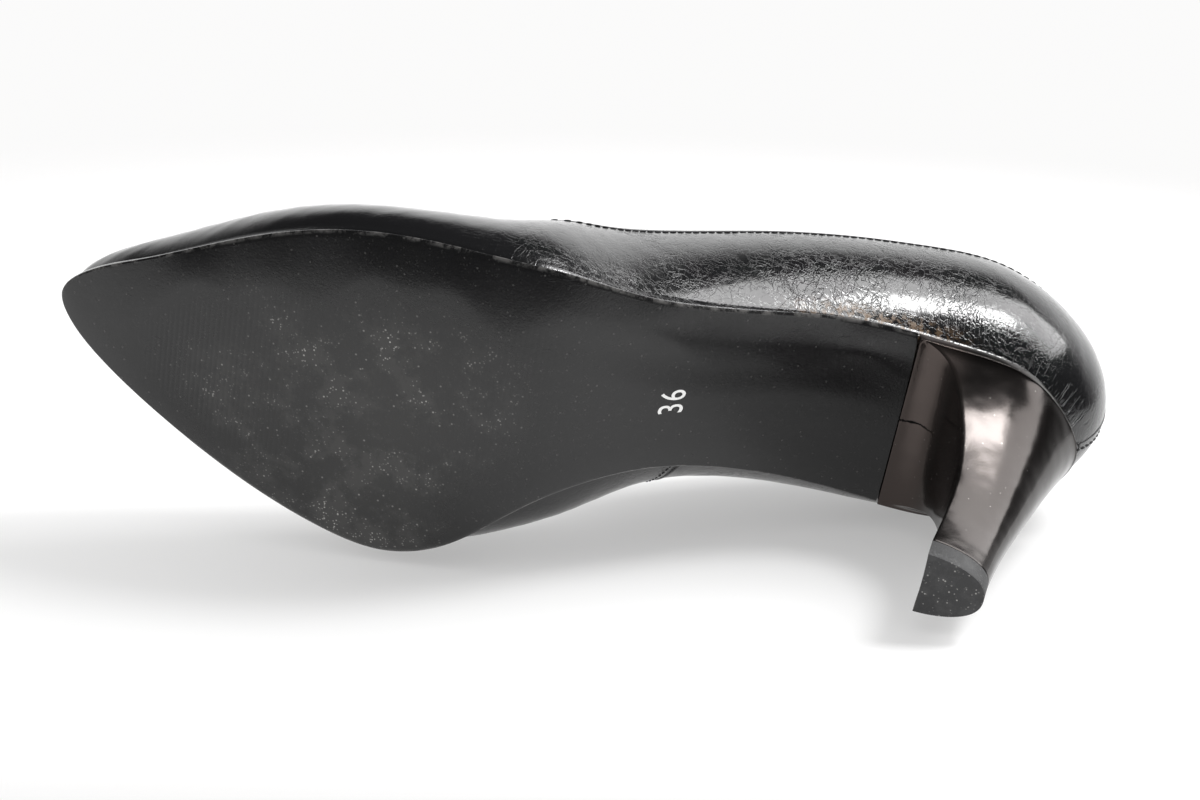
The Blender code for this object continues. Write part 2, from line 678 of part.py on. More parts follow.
def build_bottom():
    """Sole, filler, shank, boards, foam and sock, from the ground up."""
    plate("outsole", OUTSOLE, 0.0, SOLE_THICK, 0.0, back=BREAST_BACK)
    inner = FORM_INSET + FLANGE_WIDTH + 2 * GAP
    under = SOLE_THICK + SOLE_GAP
    shank_board_level = INSOLE_LEVEL - GAP - BOARD_THICK
    plate("bottom_filler", CORK, under, INSOLE_LEVEL - GAP - under, inner, back=BOARD_FRONT - GAP)
    board = plate("shank_board", BOARD, shank_board_level, BOARD_THICK, inner,
                  front=BOARD_FRONT, width=BOARD_WIDTH)
    shank = plate("steel_shank", STEEL, under, SHANK_THICK, inner,
                  front=SHANK_FRONT, back=SHANK_BACK, width=SHANK_WIDTH)
    insole = plate("insole_board", BOARD, BOARD_LEVEL, INSOLE_THICK, FORM_INSET)
    plate("sock_foam", FOAM, FOAM_LEVEL, FOAM_THICK, FORM_INSET + GAP)
    plate("sock_lining", SOCK, SOCK_LEVEL, SOCK_THICK, FORM_INSET + GAP, front=SOCK_FRONT)

    for name, back in zip(("shank_rivet_front", "shank_rivet_rear"), RIVET_BACKS):
        frame = seat_frame(shank_middle(back), back, 0.0)
        for piece in (board, shank):
            hole = name + "_hole_in_" + piece.name
            drill(piece, hole, frame, RIVET_RADIUS + GAP, 0.0, INSOLE_LEVEL - CUT_OVERLAP)
        rivet_low, rivet_top = under + CUT_OVERLAP, INSOLE_LEVEL - GAP - CUT_OVERLAP
        cylinder(name, STEEL, PARTS, frame, RIVET_RADIUS, rivet_low, rivet_top)
    return insole, board, shank


def shank_middle(back):
    backs, outer, inner = outline_sides(FORM_INSET + FLANGE_WIDTH + 2 * GAP)
    return float(0.5 * (np.interp(back, backs, outer) + np.interp(back, backs, inner)))


def tip_shape():
    """Half of the heel tip's outline, front corner to back: (share across, share back)."""
    turn = np.linspace(0, 0.5 * math.pi, HEEL_COLUMNS + 1)
    return np.cos(turn) ** 0.8, np.sin(turn) ** 1.1


def heel_rings():
    """Rings of the heel from the tip to the seat, where the outline is the sole's own."""
    front_edge = BREAST_BACK + GAP
    start = float(place_of(front_edge, True))
    seat_edge = edge_at(np.linspace(start, 1, HEEL_COLUMNS + 1))
    start_inner = float(place_of(front_edge, False))
    inner_edge = edge_at(np.linspace(start_inner, -1, HEEL_COLUMNS + 1))
    half_seat = seat_edge[0, 0]
    tip_across, tip_along = tip_shape()
    low = LIFT_THICK + GAP
    front_top = float(bottom_height(np.array(front_edge)))
    tip_back = TIP_FRONT + TIP_DEPTH
    front_line = open_spline(HEEL_FRONT)
    back_line = open_spline(HEEL_BACK)
    half_line = open_spline(HEEL_HALF)
    front_way = np.linspace(-1, 1, FRONT_COLUMNS + 1)[1:-1]
    rings = []
    for share in np.linspace(0, 1, HEEL_RINGS):
        at = np.array(share)
        front = front_line(at) * (front_edge - TIP_FRONT, front_top - low) + (TIP_FRONT, low)
        back = back_line(at) * (SOLE_LENGTH - tip_back, HEEL_RISE - low) + (tip_back, low)
        half = 0.5 * TIP_WIDTH + (half_seat - 0.5 * TIP_WIDTH) * float(half_line(at)[0])
        mix = share**1.5
        sides = []
        for edge in (seat_edge, inner_edge):
            seat_along = (edge[:, 1] - front_edge) / (SOLE_LENGTH - front_edge)
            side = (1 - mix) * tip_across * half * np.sign(edge[0, 0]) + mix * edge[:, 0] * half / half_seat
            along = (1 - mix) * tip_along + mix * seat_along
            sides.append((side, along))
        (outer, outer_along), (inner, inner_along) = sides
        hollow = HEEL_HOLLOW / TIP_DEPTH * (1 - mix)
        middle = 0.5 * (outer[0] + inner[0])
        reach = 0.5 * (outer[0] - inner[0])
        side = np.concatenate([outer, inner[-2::-1], middle + reach * front_way])
        along = np.concatenate([outer_along, inner_along[-2::-1], hollow * (1 - front_way**2)])
        backs = front[0] + (back[0] - front[0]) * along
        heights = front[1] + (back[1] - front[1]) * along
        seat_heights = bottom_height(backs)
        heights = heights + share**6 * (seat_heights - heights)
        rings.append(np.stack([side, backs, heights], axis=-1))
    seat = rings[-1]
    rings.append(bottom_point(seat[:, 0], seat[:, 1], np.full(len(seat), SOLE_THICK)))
    return rings


def build_heel(insole, board, shank):
    """Heel block, top lift, and the metal that holds them and ties the heel to the shoe."""
    rings = heel_rings()
    shape = bmesh.new()
    rows = add_quads(shape, rings, wrap=True)
    shape.faces.new(rows[0][::-1])
    close_seat(shape, rows[-1])
    heel = place_object("heel_block", finish_mesh(shape, "heel_block"), HEEL_COAT, PARTS)

    lift_ring = rings[0] * (1, 1, 0)
    shape = bmesh.new()
    rows = add_quads(shape, [lift_ring, lift_ring + (0, 0, LIFT_THICK)], wrap=True)
    shape.faces.new(rows[0][::-1])
    shape.faces.new(rows[1])
    lift = place_object("top_lift", finish_mesh(shape, "top_lift"), TOP_PIECE, PARTS)

    centre = Matrix.Translation((0, (TIP_FRONT + 0.47 * TIP_DEPTH) * MM, 0))
    drill(heel, "dowel_hole", centre, DOWEL_RADIUS + GAP, 0.0, DOWEL_TOP + GAP)
    dowel = cylinder("heel_dowel", STEEL, PARTS, centre, DOWEL_RADIUS, LIFT_THICK + 2 * GAP, DOWEL_TOP)
    drill(dowel, "dowel_bore", centre, DOWEL_BORE, 0.0, DOWEL_TOP + 5)
    drill(lift, "lift_hole", centre, PIN_RADIUS + GAP, PIN_FOOT - GAP, LIFT_THICK + 1)
    cylinder("top_lift_pin", STEEL, PARTS, centre, PIN_RADIUS, PIN_FOOT, LIFT_THICK + PIN_RISE)

    frame = seat_frame(0.0, SCREW_BACK, 0.0)
    head_low = INSOLE_LEVEL
    head_top = INSOLE_LEVEL + INSOLE_THICK - HEAD_SUNK
    hole_top = INSOLE_LEVEL - CUT_OVERLAP
    foot = head_top - SCREW_LENGTH
    drill(insole, "screw_head_room", frame, SCREW_HEAD_RADIUS + GAP, INSOLE_LEVEL - 1, FOAM_LEVEL)
    for piece in (board, shank, heel):
        drill(piece, "screw_hole_in_" + piece.name, frame, SCREW_RADIUS + GAP, foot - GAP, hole_top)
    headed_pin("heel_screw", frame, SCREW_RADIUS, SCREW_HEAD_RADIUS, foot, head_low, head_top)

    number = 1
    for back in NAIL_BACKS:
        for side in (-NAIL_SIDE, NAIL_SIDE):
            frame = seat_frame(side, back, 0.0)
            name = f"heel_nail_{number}"
            foot = head_top - NAIL_LENGTH
            drill(insole, name + "_head_room", frame, NAIL_HEAD_RADIUS + GAP, INSOLE_LEVEL - 1, FOAM_LEVEL)
            for piece in (board, heel):
                hole = name + "_hole_in_" + piece.name
                drill(piece, hole, frame, NAIL_RADIUS + GAP, foot - GAP, hole_top)
            headed_pin(name, frame, NAIL_RADIUS, NAIL_HEAD_RADIUS, foot, head_low, head_top)
            number += 1


def close_seat(shape, ring):
    """Top of the heel: strips across between the outer and inner edge."""
    last = 2 * HEEL_COLUMNS
    front = ring[last + 1:]
    shape.faces.new([ring[0], ring[1], ring[last - 1], ring[last]] + front)
    for i in range(1, HEEL_COLUMNS - 1):
        shape.faces.new((ring[i], ring[i + 1], ring[last - i - 1], ring[last - i]))
    shape.faces.new((ring[HEEL_COLUMNS - 1], ring[HEEL_COLUMNS], ring[HEEL_COLUMNS + 1]))


def headed_pin(name, frame, radius, head_radius, foot, head_low, head_top):
    """Screw or nail: a shank and a flat head, turned as one profile."""
    shape = bmesh.new()
    outline = ((0.0, foot), (0.6 * radius, foot), (radius, foot + 1.5 * radius), (radius, head_low),
               (head_radius, head_low), (head_radius, head_top), (0.0, head_top))
    turns = 14
    angles = np.arange(turns) * 2 * math.pi / turns
    rows = [[(r * math.cos(a), r * math.sin(a), z) for a in angles] for r, z in outline]
    add_quads(shape, rows, wrap=True)
    shape.transform(frame)
    return place_object(name, finish_mesh(shape, name), STEEL, PARTS)


def centre_on_base():
    """Moves the shoe so that its box is centred on the origin and stands on it."""
    bpy.context.view_layer.update()
    graph = bpy.context.evaluated_depsgraph_get()
    points = []
    for part in PARTS.objects:
        if part.type != "EMPTY":
            evaluated = part.evaluated_get(graph)
            points += [tuple(vertex.co) for vertex in evaluated.to_mesh().vertices]
            evaluated.to_mesh_clear()
    low, high = np.min(points, axis=0), np.max(points, axis=0)
    SHOE.location = (-0.5 * (low[0] + high[0]), -0.5 * (low[1] + high[1]), -low[2])


build_upper()
seat_layers = build_bottom()
build_heel(*seat_layers)
centre_on_base()
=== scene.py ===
"""Looks of the high heel pump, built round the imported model.

Sizes are in millimetres until a mesh is made. A point is (side, back, height): side is the distance
outwards from the heel's centre line, back the distance behind the toe tip. A level is a height above
the sole's underside, square to it. The layers of the upper follow one form, and a layer's out is how
far it lies outside that form.
"""

import math

import bmesh
import bpy
import numpy as np
from bpy.props import FloatProperty, FloatVectorProperty, IntProperty, PointerProperty
from mathutils import Matrix, Vector


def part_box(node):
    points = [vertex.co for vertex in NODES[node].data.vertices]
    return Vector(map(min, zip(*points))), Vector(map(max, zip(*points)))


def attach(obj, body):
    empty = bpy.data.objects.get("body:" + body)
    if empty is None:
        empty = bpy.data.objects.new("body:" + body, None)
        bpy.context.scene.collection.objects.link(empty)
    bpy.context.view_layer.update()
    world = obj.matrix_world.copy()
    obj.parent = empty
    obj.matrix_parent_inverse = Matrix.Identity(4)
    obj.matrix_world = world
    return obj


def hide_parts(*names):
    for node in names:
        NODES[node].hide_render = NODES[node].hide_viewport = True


bl_info = {
    "name": "High heel pump",
    "version": (1, 0, 0),
    "blender": (4, 5, 0),
    "location": "View3D > Sidebar > Pump",
    "description": "Surfaces and finishes of a patent court shoe on a slim coated heel",
    "category": "Object",
}

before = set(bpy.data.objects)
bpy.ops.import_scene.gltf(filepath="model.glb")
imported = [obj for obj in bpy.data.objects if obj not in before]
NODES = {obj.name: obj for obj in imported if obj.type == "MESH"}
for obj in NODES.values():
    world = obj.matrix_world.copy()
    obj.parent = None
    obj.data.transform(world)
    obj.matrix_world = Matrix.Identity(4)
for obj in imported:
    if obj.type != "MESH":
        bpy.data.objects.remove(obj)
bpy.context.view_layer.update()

MM = 0.001
SOLE_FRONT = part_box("outsole")[0][1]
PIN_LOW, PIN_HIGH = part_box("top_lift_pin")
ORIGIN = np.array([0.5 * (PIN_LOW[0] + PIN_HIGH[0]), SOLE_FRONT, 0.0])

# Sizes of the shoe
SOLE_LENGTH = 218.0
SOLE_WIDTH = 78.2
HEEL_RISE = 62.0
TOE_SPRING = 8.0
TREAD_FRONT = 70.0
TREAD_BACK = 88.0
BEND_LENGTH = 40.0
SEAT_START = 150.0
SEAT_SLOPE = 0.25
BREAST_BACK = 178.6
SOLE_THICK = 2.2
INSOLE_LEVEL = 5.85
UPPER_OUT = 3.2
FORM_INSET = 3.6
LINING_OUT = 1.0
UPPER_THICK = 1.0
UPPER_TURNED_IN = 3.0
SEAM_GAP = 0.12
LINING_THICK = 0.7
LINING_TURNED_IN = 4.0
LINING_SHORT = 0.012
LINING_GAP = 0.1
LINING_IN = 0.3
SOCK_TOP = 10.7
SOCK_LOW = 7.9
THROAT_BACK = 78.0
SIDE_SEAM_BACK = 140.0
GRIP_FRONT = 175.0
TIP_WIDTH = 14.8
TIP_DEPTH = 13.2
TIP_FRONT = 193.8
LIFT_THICK = 5.0
TOE_SIDE = 1.5

# Sole outline: (share of the length behind the toe, share of the width to the side)
OUTER_EDGE = ((0.025, 0.126), (0.085, 0.233), (0.166, 0.369), (0.282, 0.520), (0.42, 0.575),
              (0.51, 0.553), (0.59, 0.46), (0.73, 0.361), (0.85, 0.290), (0.93, 0.243), (0.980, 0.125))
INNER_EDGE = ((0.016, -0.050), (0.051, -0.123), (0.170, -0.287), (0.30, -0.408), (0.37, -0.425),
              (0.43, -0.355), (0.52, -0.150), (0.60, -0.084), (0.71, -0.155), (0.82, -0.262),
              (0.93, -0.243), (0.980, -0.125))

# The form: (place, back, height) and (place, side) of its ridge, and (place, out, up, sideways) of its walls
RIDGE = ((0.0, 9.0, 18.5), (0.19, 38.0, 30.0), (0.373, 78.0, 43.0), (0.50, 98.0, 64.0),
         (0.62, 116.0, 86.0), (0.75, 142.0, 106.0), (0.88, 170.0, 121.0), (1.0, 190.0, 128.0))
RIDGE_SIDE = ((0.0, 1.5), (0.37, 0.5), (0.6, 4.0), (1.0, 0.0))
OUTER_SWELL = ((0.0, 2.0, 2.5, 5.0), (0.12, 4.0, 7.0, 12.0), (0.25, 5.0, 12.0, 20.0), (0.37, 3.5, 14.0, 21.0),
               (0.50, 4.0, 20.0, 18.0), (0.62, 8.0, 24.0, 11.0), (0.80, 19.0, 26.0, 0.0),
               (0.92, 23.0, 26.0, 0.0), (1.0, 26.0, 26.0, 0.0))
INNER_SWELL = ((0.0, 2.0, 2.5, 5.0), (0.12, 3.0, 7.0, 12.0), (0.25, 4.0, 13.0, 18.0), (0.37, 8.0, 16.0, 20.0),
               (0.50, 34.0, 15.0, 18.0), (0.62, 45.0, 17.0, 12.0), (0.80, 36.0, 21.0, 0.0),
               (0.92, 30.0, 25.0, 0.0), (1.0, 26.0, 26.0, 0.0))
OUTER_OPENING = ((0.0, 0.47), (0.25, 0.44), (0.6, 0.42), (1.0, 0.50))
INNER_OPENING = ((0.0, 0.47), (0.25, 0.46), (0.6, 0.45), (1.0, 0.50))
THROAT_ROUND = 0.25
WAIST_WAVE = 0.17

# Heel, tip to seat: (share of the rise, share of the reach, share of the height)
HEEL_FRONT = ((0.0, 0.0, 0.0), (0.3, -0.066, 0.314), (0.55, -0.02, 0.587), (0.75, 0.224, 0.807),
              (0.9, 0.592, 0.939), (1.0, 1.0, 1.0))
HEEL_BACK = ((0.0, 0.0, 0.0), (0.3, 0.143, 0.246), (0.55, 0.41, 0.51), (0.75, 0.68, 0.73),
             (0.9, 0.91, 0.905), (1.0, 1.0, 1.0))
HEEL_HALF = ((0.0, 0.0), (0.3, 0.05), (0.55, 0.24), (0.75, 0.53), (0.9, 0.84), (1.0, 1.0))
HEEL_HOLLOW = 0.2


# ---- sizes and colours that a user may change ---------------------------------------------

def length(name, description, default):
    """A size in metres, shown in the scene's unit."""
    return FloatProperty(name=name, description=description, default=default, min=0.0, unit="LENGTH")


def colour(name, description, default):
    return FloatVectorProperty(name=name, description=description, default=default, size=3,
                               min=0.0, max=1.0, subtype="COLOR")


class PumpSizes(bpy.types.PropertyGroup):
    """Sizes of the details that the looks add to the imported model."""

    columns: IntProperty(
        name="Columns", description="Grid columns along each side of the upper", default=230, min=60
    )
    rows: IntProperty(name="Rows", description="Grid rows up the wall of the upper", default=54, min=12)
    fold: length("Fold", "Width of the folded edge round the opening", 0.0022)
    stitch_pitch: length("Stitch pitch", "Distance from one stitch to the next", 0.0021)
    stitch_inset: length("Stitch inset", "Distance of the stitching below the opening's edge", 0.0027)
    ridge_pitch: length("Ridge pitch", "Distance from one fine ridge of the sole to the next", 0.0012)
    ridge_depth: length("Ridge depth", "Depth of the grooves between the sole's ridges", 0.00006)
    edge_relief: length("Edge relief", "How far the sole thins towards its edge", 0.0016)
    digit_height: length("Digit height", "Height of the size numbers on the sole", 0.0045)


class PumpColours(bpy.types.PropertyGroup):
    """Colours of the finishes."""

    patent: colour("Patent", "Crinkled patent upper", (0.006, 0.006, 0.0065))
    patent_rub: colour(
        "Rubbed patent", "Brown tint where the upper is rubbed above the heel", (0.10, 0.055, 0.02)
    )
    sole: colour("Sole", "Black moulded sole", (0.0065, 0.0065, 0.0068))
    dust: colour("Dust", "Pale dust ground into the tread", (0.50, 0.49, 0.47))
    heel: colour("Heel", "Gunmetal coating of the heel", (0.032, 0.0285, 0.027))
    lift: colour("Top lift", "Rubber under the heel", (0.022, 0.022, 0.023))
    lining: colour("Lining", "Lining leather", (0.45, 0.32, 0.22))
    sock: colour("Sock", "Sock leather", (0.48, 0.35, 0.25))
    thread: colour("Thread", "Sewing thread", (0.012, 0.012, 0.013))
    digits: colour("Digits", "Printed size numbers", (0.86, 0.86, 0.85))
    floor: colour("Floor", "Pale floor", (0.50, 0.50, 0.50))


# ---- curves -------------------------------------------------------------------------------

def closed_spline(points):
    """Periodic cubic through the points in chord length: between knots k and k + 1 it is
    a P(k) + b P(k+1) + ((a^3 - a) M(k) + (b^3 - b) M(k+1)) h^2 / 6 with b = (s - s(k)) / h, a = 1 - b."""
    points = np.array(points, float)
    steps = np.linalg.norm(np.roll(points, -1, axis=0) - points, axis=1)
    count = len(points)
    after = np.roll(np.arange(count), -1)
    before = np.roll(np.arange(count), 1)
    system = np.zeros((count, count))
    rows = np.arange(count)
    system[rows, before] += steps[before]
    system[rows, rows] += 2 * (steps[before] + steps)
    system[rows, after] += steps
    slopes = (points[after] - points) / steps[:, None]
    bends = np.linalg.solve(system, 6 * (slopes - slopes[before]))
    knots = np.concatenate([[0], np.cumsum(steps)])

    def curve(at):
        at = np.mod(np.asarray(at, float), knots[-1])
        k = np.clip(np.searchsorted(knots, at, side="right") - 1, 0, count - 1)
        h = steps[k][..., None]
        b = (at - knots[k])[..., None] / h
        a = 1 - b
        ends = a * points[k] + b * points[after[k]]
        return ends + ((a**3 - a) * bends[k] + (b**3 - b) * bends[after[k]]) * h * h / 6

    return curve, knots


def open_spline(table):
    """The same cubic through rows of (place, values), straight at both ends."""
    rows = np.array(table, float)
    places, values = rows[:, 0], rows[:, 1:]
    steps = np.diff(places)[:, None]
    slopes = np.diff(values, axis=0) / steps
    inner = len(places) - 2
    beside = steps[1:-1, 0]
    system = np.diag(2 * (steps[:-1, 0] + steps[1:, 0])) + np.diag(beside, 1) + np.diag(beside, -1)
    bends = np.zeros_like(values)
    bends[1:-1] = np.linalg.solve(system.reshape(inner, inner), 6 * np.diff(slopes, axis=0))

    def curve(at):
        k = np.clip(np.searchsorted(places, at, side="right") - 1, 0, inner)
        h = steps[k]
        b = (np.asarray(at, float) - places[k])[..., None] / h
        a = 1 - b
        line = a * values[k] + b * values[k + 1]
        return line + ((a**3 - a) * bends[k] + (b**3 - b) * bends[k + 1]) * h * h / 6

    return curve


def unit(vectors):
    return vectors / np.maximum(np.linalg.norm(vectors, axis=-1, keepdims=True), 1e-9)


def smooth(low, high, at):
    """0 below low, 1 above high, and t^2 (3 - 2 t) between."""
    t = np.clip((np.asarray(at, float) - low) / (high - low), 0, 1)
    return t * t * (3 - 2 * t)


# ---- bottom profile and outline -----------------------------------------------------------

def ramp(t):
    """Starts flat and reaches slope 1 at t = 1: t^3 - t^4 / 2, then t - 1/2."""
    t = np.maximum(t, 0)
    return np.where(t < 1, t**3 - t**4 / 2, t - 0.5)


def ramp_slope(t):
    t = np.clip(t, 0, 1)
    return t * t * (3 - 2 * t)


def rise(back):
    climb = BEND_LENGTH * ramp((back - TREAD_BACK) / BEND_LENGTH)
    return climb - (1 - SEAT_SLOPE) * BEND_LENGTH * ramp((back - SEAT_START) / BEND_LENGTH)


WAIST_SLOPE = HEEL_RISE / float(rise(np.array(SOLE_LENGTH)))


def bottom_height(back):
    """Height of the sole's underside: the rise to the heel seat, and toe spring as a power 2.2."""
    spring = np.clip(TREAD_FRONT - back, 0, None) / TREAD_FRONT
    return WAIST_SLOPE * rise(back) + TOE_SPRING * spring**2.2


def bottom_normal(back):
    spring = np.clip(TREAD_FRONT - back, 0, None) / TREAD_FRONT
    slope = WAIST_SLOPE * (ramp_slope((back - TREAD_BACK) / BEND_LENGTH)
                           - (1 - SEAT_SLOPE) * ramp_slope((back - SEAT_START) / BEND_LENGTH))
    slope = slope - 2.2 * TOE_SPRING / TREAD_FRONT * spring**1.2
    return unit(np.stack([np.zeros_like(slope), -slope, np.ones_like(slope)], axis=-1))


def bottom_point(side, back, level):
    """Point at a level above the sole's underside: underside(back) + level * normal(back)."""
    side, back, level = np.broadcast_arrays(*(np.asarray(part, float) for part in (side, back, level)))
    return np.stack([side, back, bottom_height(back)], axis=-1) + bottom_normal(back) * level[..., None]


def share_points(table):
    return [(side * SOLE_WIDTH, back * SOLE_LENGTH) for back, side in table]


EDGE, EDGE_KNOTS = closed_spline([(TOE_SIDE, 0.0)] + share_points(OUTER_EDGE) + [(0.0, SOLE_LENGTH)]
                                 + share_points(INNER_EDGE)[::-1])
EDGE_BACK = EDGE_KNOTS[len(OUTER_EDGE) + 1]
EDGE_END = EDGE_KNOTS[-1]


def edge_at(place):
    """Sole edge as (side, back). Place is 0 at the toe, 1 at the heel back along the outer side,
    and -1 there along the inner side."""
    place = np.mod(np.asarray(place, float) + 1, 2) - 1
    return EDGE(np.where(place >= 0, place * EDGE_BACK, place * (EDGE_END - EDGE_BACK)))


def edge_outward(place):
    step = 1e-4
    along = unit(edge_at(place + step) - edge_at(place - step))
    return np.stack([along[..., 1], -along[..., 0]], axis=-1)


DENSE = np.linspace(0, 1, 4001)


def place_of(back, outer):
    """Place on the outer or inner edge that lies this far behind the toe."""
    sign = 1 if outer else -1
    return sign * np.interp(back, edge_at(sign * DENSE)[:, 1], DENSE)


THROAT_PLACE = float(place_of(THROAT_BACK, True))
SIDE_SEAM = float(place_of(SIDE_SEAM_BACK, False))
GRIP_PLACE = float(place_of(GRIP_FRONT, True))

RIDGE_LINE = open_spline(RIDGE)
RIDGE_SIDES = open_spline(RIDGE_SIDE)
OUTER_WALL = open_spline(OUTER_SWELL)
INNER_WALL = open_spline(INNER_SWELL)
OUTER_EDGE_SHARE = open_spline(OUTER_OPENING)
INNER_EDGE_SHARE = open_spline(INNER_OPENING)


# ---- the form that the upper follows ------------------------------------------------------

def ridge_at(place):
    place = np.abs(place)
    return np.concatenate([RIDGE_SIDES(place), RIDGE_LINE(place)], axis=-1)


def opening_at(place):
    """Where the upper ends above this place of the foot, as (place, share of the wall's curve):
    share 1 along the vamp, then a quarter ellipse round the throat, then the opening's own line."""
    side = np.abs(place)
    share = np.clip((side - THROAT_PLACE) / (1 - THROAT_PLACE), 0, 1)
    turn = 0.5 * math.pi * np.clip(share / THROAT_ROUND, 0, 1)
    share = np.where(share < THROAT_ROUND, THROAT_ROUND * (1 - np.cos(turn)), share)
    low = np.where(place >= 0, OUTER_EDGE_SHARE(share)[..., 0], INNER_EDGE_SHARE(share)[..., 0])
    height = np.where(side <= THROAT_PLACE, 1.0, low + (1 - OUTER_OPENING[0][1]) * (1 - np.sin(turn)))
    top = np.where(side <= THROAT_PLACE, side, THROAT_PLACE + (1 - THROAT_PLACE) * share)
    return np.where(place >= 0, top, -top), height


def top_direction(place):
    """Direction in which the wall leaves the ridge: forwards at the toe, backwards at the heel,
    and sideways between them."""
    side = np.abs(place)
    sign = np.where(place >= 0, 1.0, -1.0)
    step = 1e-3
    along = unit(ridge_at(np.minimum(side + step, 1)) - ridge_at(np.maximum(side - step, 0)))
    toe, heel = (0.5 * math.pi * np.sin(0.5 * math.pi * np.clip(t / 0.2, 0, 1)) for t in (side, 1 - side))
    across = np.stack([sign, 0 * sign, 0 * sign], axis=-1)
    return unit(across * (np.sin(toe) * np.sin(heel))[..., None]
                + along * (np.cos(heel) - np.cos(toe))[..., None])


def form(place, height):
    """Cubic wall at each place round the edge: (1-v)^3 foot + 3 (1-v)^2 v first + 3 (1-v) v^2 second
    + v^3 top, from the feather edge up to the ridge."""
    place, height = np.broadcast_arrays(np.asarray(place, float), np.asarray(height, float))
    place = np.mod(place + 1, 2) - 1
    side = np.abs(place)
    out = edge_outward(place)
    inset = edge_at(place) - FORM_INSET * out
    foot = bottom_point(inset[..., 0], inset[..., 1], INSOLE_LEVEL)
    top = ridge_at(place)
    out = np.concatenate([out, 0 * out[..., :1]], axis=-1)
    swell = np.where((place >= 0)[..., None], OUTER_WALL(side), INNER_WALL(side))
    first = foot + out * swell[..., 0:1] + bottom_normal(inset[..., 1]) * swell[..., 1:2]
    second = top + top_direction(place) * swell[..., 2:3]
    v = height[..., None]
    u = 1 - v
    return u**3 * foot + 3 * u * u * v * first + 3 * u * v * v * second + v**3 * top


def form_normal(place, height):
    """Unit cross product of the form's two tangents. On the ridge it is square to the ridge."""
    place, height = np.broadcast_arrays(np.asarray(place, float), np.asarray(height, float))
    step = 2e-4
    along = form(place + step, height) - form(place - step, height)
    up = form(place, np.clip(height + step, 0, 1)) - form(place, np.clip(height - step, 0, 1))
    normal = unit(np.cross(along, up))
    side = np.abs(np.mod(place + 1, 2) - 1)
    ridge = unit(ridge_at(np.clip(side + 1e-3, 0, 1)) - ridge_at(np.clip(side - 1e-3, 0, 1)))
    crown = unit(np.stack([0 * side, -ridge[..., 2], ridge[..., 1]], axis=-1))
    return np.where((height > 1 - 1e-9)[..., None], crown, normal)


def layer_point(place, height, out):
    return form(place, height) + form_normal(place, height) * np.asarray(out, float)[..., None]


def under_point(place, inset, level):
    """Point under the form's edge, moved in from the sole's edge, at a level above the underside."""
    edge = edge_at(place) - np.asarray(inset, float)[..., None] * edge_outward(place)
    return bottom_point(edge[..., 0], edge[..., 1], level)


def opening_line(count, out, inset):
    """Closed line round the opening, with its unit directions: along it, out of the form, and down
    into the wall. Point = edge + normal * out + down * inset."""
    dense = np.linspace(THROAT_PLACE, 2 - THROAT_PLACE, 2401)[:-1]
    places, shares = opening_at(np.mod(dense + 1, 2) - 1)
    line = form(places, shares)
    steps = np.linalg.norm(np.roll(line, -1, axis=0) - line, axis=1)
    travelled = np.concatenate([[0], np.cumsum(steps)])
    at = np.interp(np.arange(count) / count * travelled[-1], travelled, np.append(dense, 2 - THROAT_PLACE))
    places, shares = opening_at(np.mod(at + 1, 2) - 1)
    edge = form(places, shares)
    along = unit(np.roll(edge, -1, axis=0) - np.roll(edge, 1, axis=0))
    normal = form_normal(places, shares)
    down = unit(np.cross(along, normal))
    return edge + normal * out + down * inset, along, normal, down


# ---- meshes -------------------------------------------------------------------------------

def to_frame(points):
    return np.asarray(points, float) * MM + ORIGIN


def grid_faces(rows, columns, wrap_columns=False, wrap_rows=False):
    """Quads of a grid whose vertex (row, column) has index row * columns + column."""
    row = np.arange(rows if wrap_rows else rows - 1)
    column = np.arange(columns if wrap_columns else columns - 1)
    row, column = np.meshgrid(row, column, indexing="ij")
    after_row = (row + 1) % rows
    after_column = (column + 1) % columns
    corners = (row * columns + column, row * columns + after_column,
               after_row * columns + after_column, after_row * columns + column)
    return np.stack([corner.ravel() for corner in corners], axis=1)


def mesh_of(name, points, faces, extra_faces=(), uv=None, weld=0.0):
    """Mesh object with its points in the frame. UV is one pair for each point."""
    mesh = bpy.data.meshes.new(name)
    faces = [tuple(int(i) for i in face) for face in faces] + [tuple(face) for face in extra_faces]
    mesh.from_pydata(to_frame(points).tolist(), [], faces)
    if uv is not None:
        layer = mesh.uv_layers.new(name="UVMap")
        corners = np.empty(len(mesh.loops), np.int32)
        mesh.loops.foreach_get("vertex_index", corners)
        layer.data.foreach_set("uv", np.asarray(uv, np.float32)[corners].ravel())
    if weld:
        shape = bmesh.new()
        shape.from_mesh(mesh)
        bmesh.ops.remove_doubles(shape, verts=shape.verts, dist=weld * MM)
        shape.to_mesh(mesh)
        shape.free()
    mesh.shade_smooth()
    piece = bpy.data.objects.new(name, mesh)
    bpy.context.scene.collection.objects.link(piece)
    return piece


def belong(piece, material, slot, *nodes):
    """Gives a piece its finish and its place in the frame."""
    piece.data.materials.clear()
    piece.data.materials.append(material)
    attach(piece, "root")
    if nodes:
        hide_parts(*nodes)
    return piece


def side_columns(count):
    """Places along one side, closer together at the toe and the heel."""
    even = np.arange(count + 1) / count
    return 0.45 * even + 0.275 * (1 - np.cos(math.pi * even))


def places_between(start, end, count):
    one_side = side_columns(count)
    both = np.unique(np.concatenate([-one_side, one_side, [-THROAT_PLACE, THROAT_PLACE]]))
    both = np.concatenate([both, both[1:] + 2])
    return np.concatenate([[start], both[(both > start + 5e-4) & (both < end - 5e-4)], [end]])


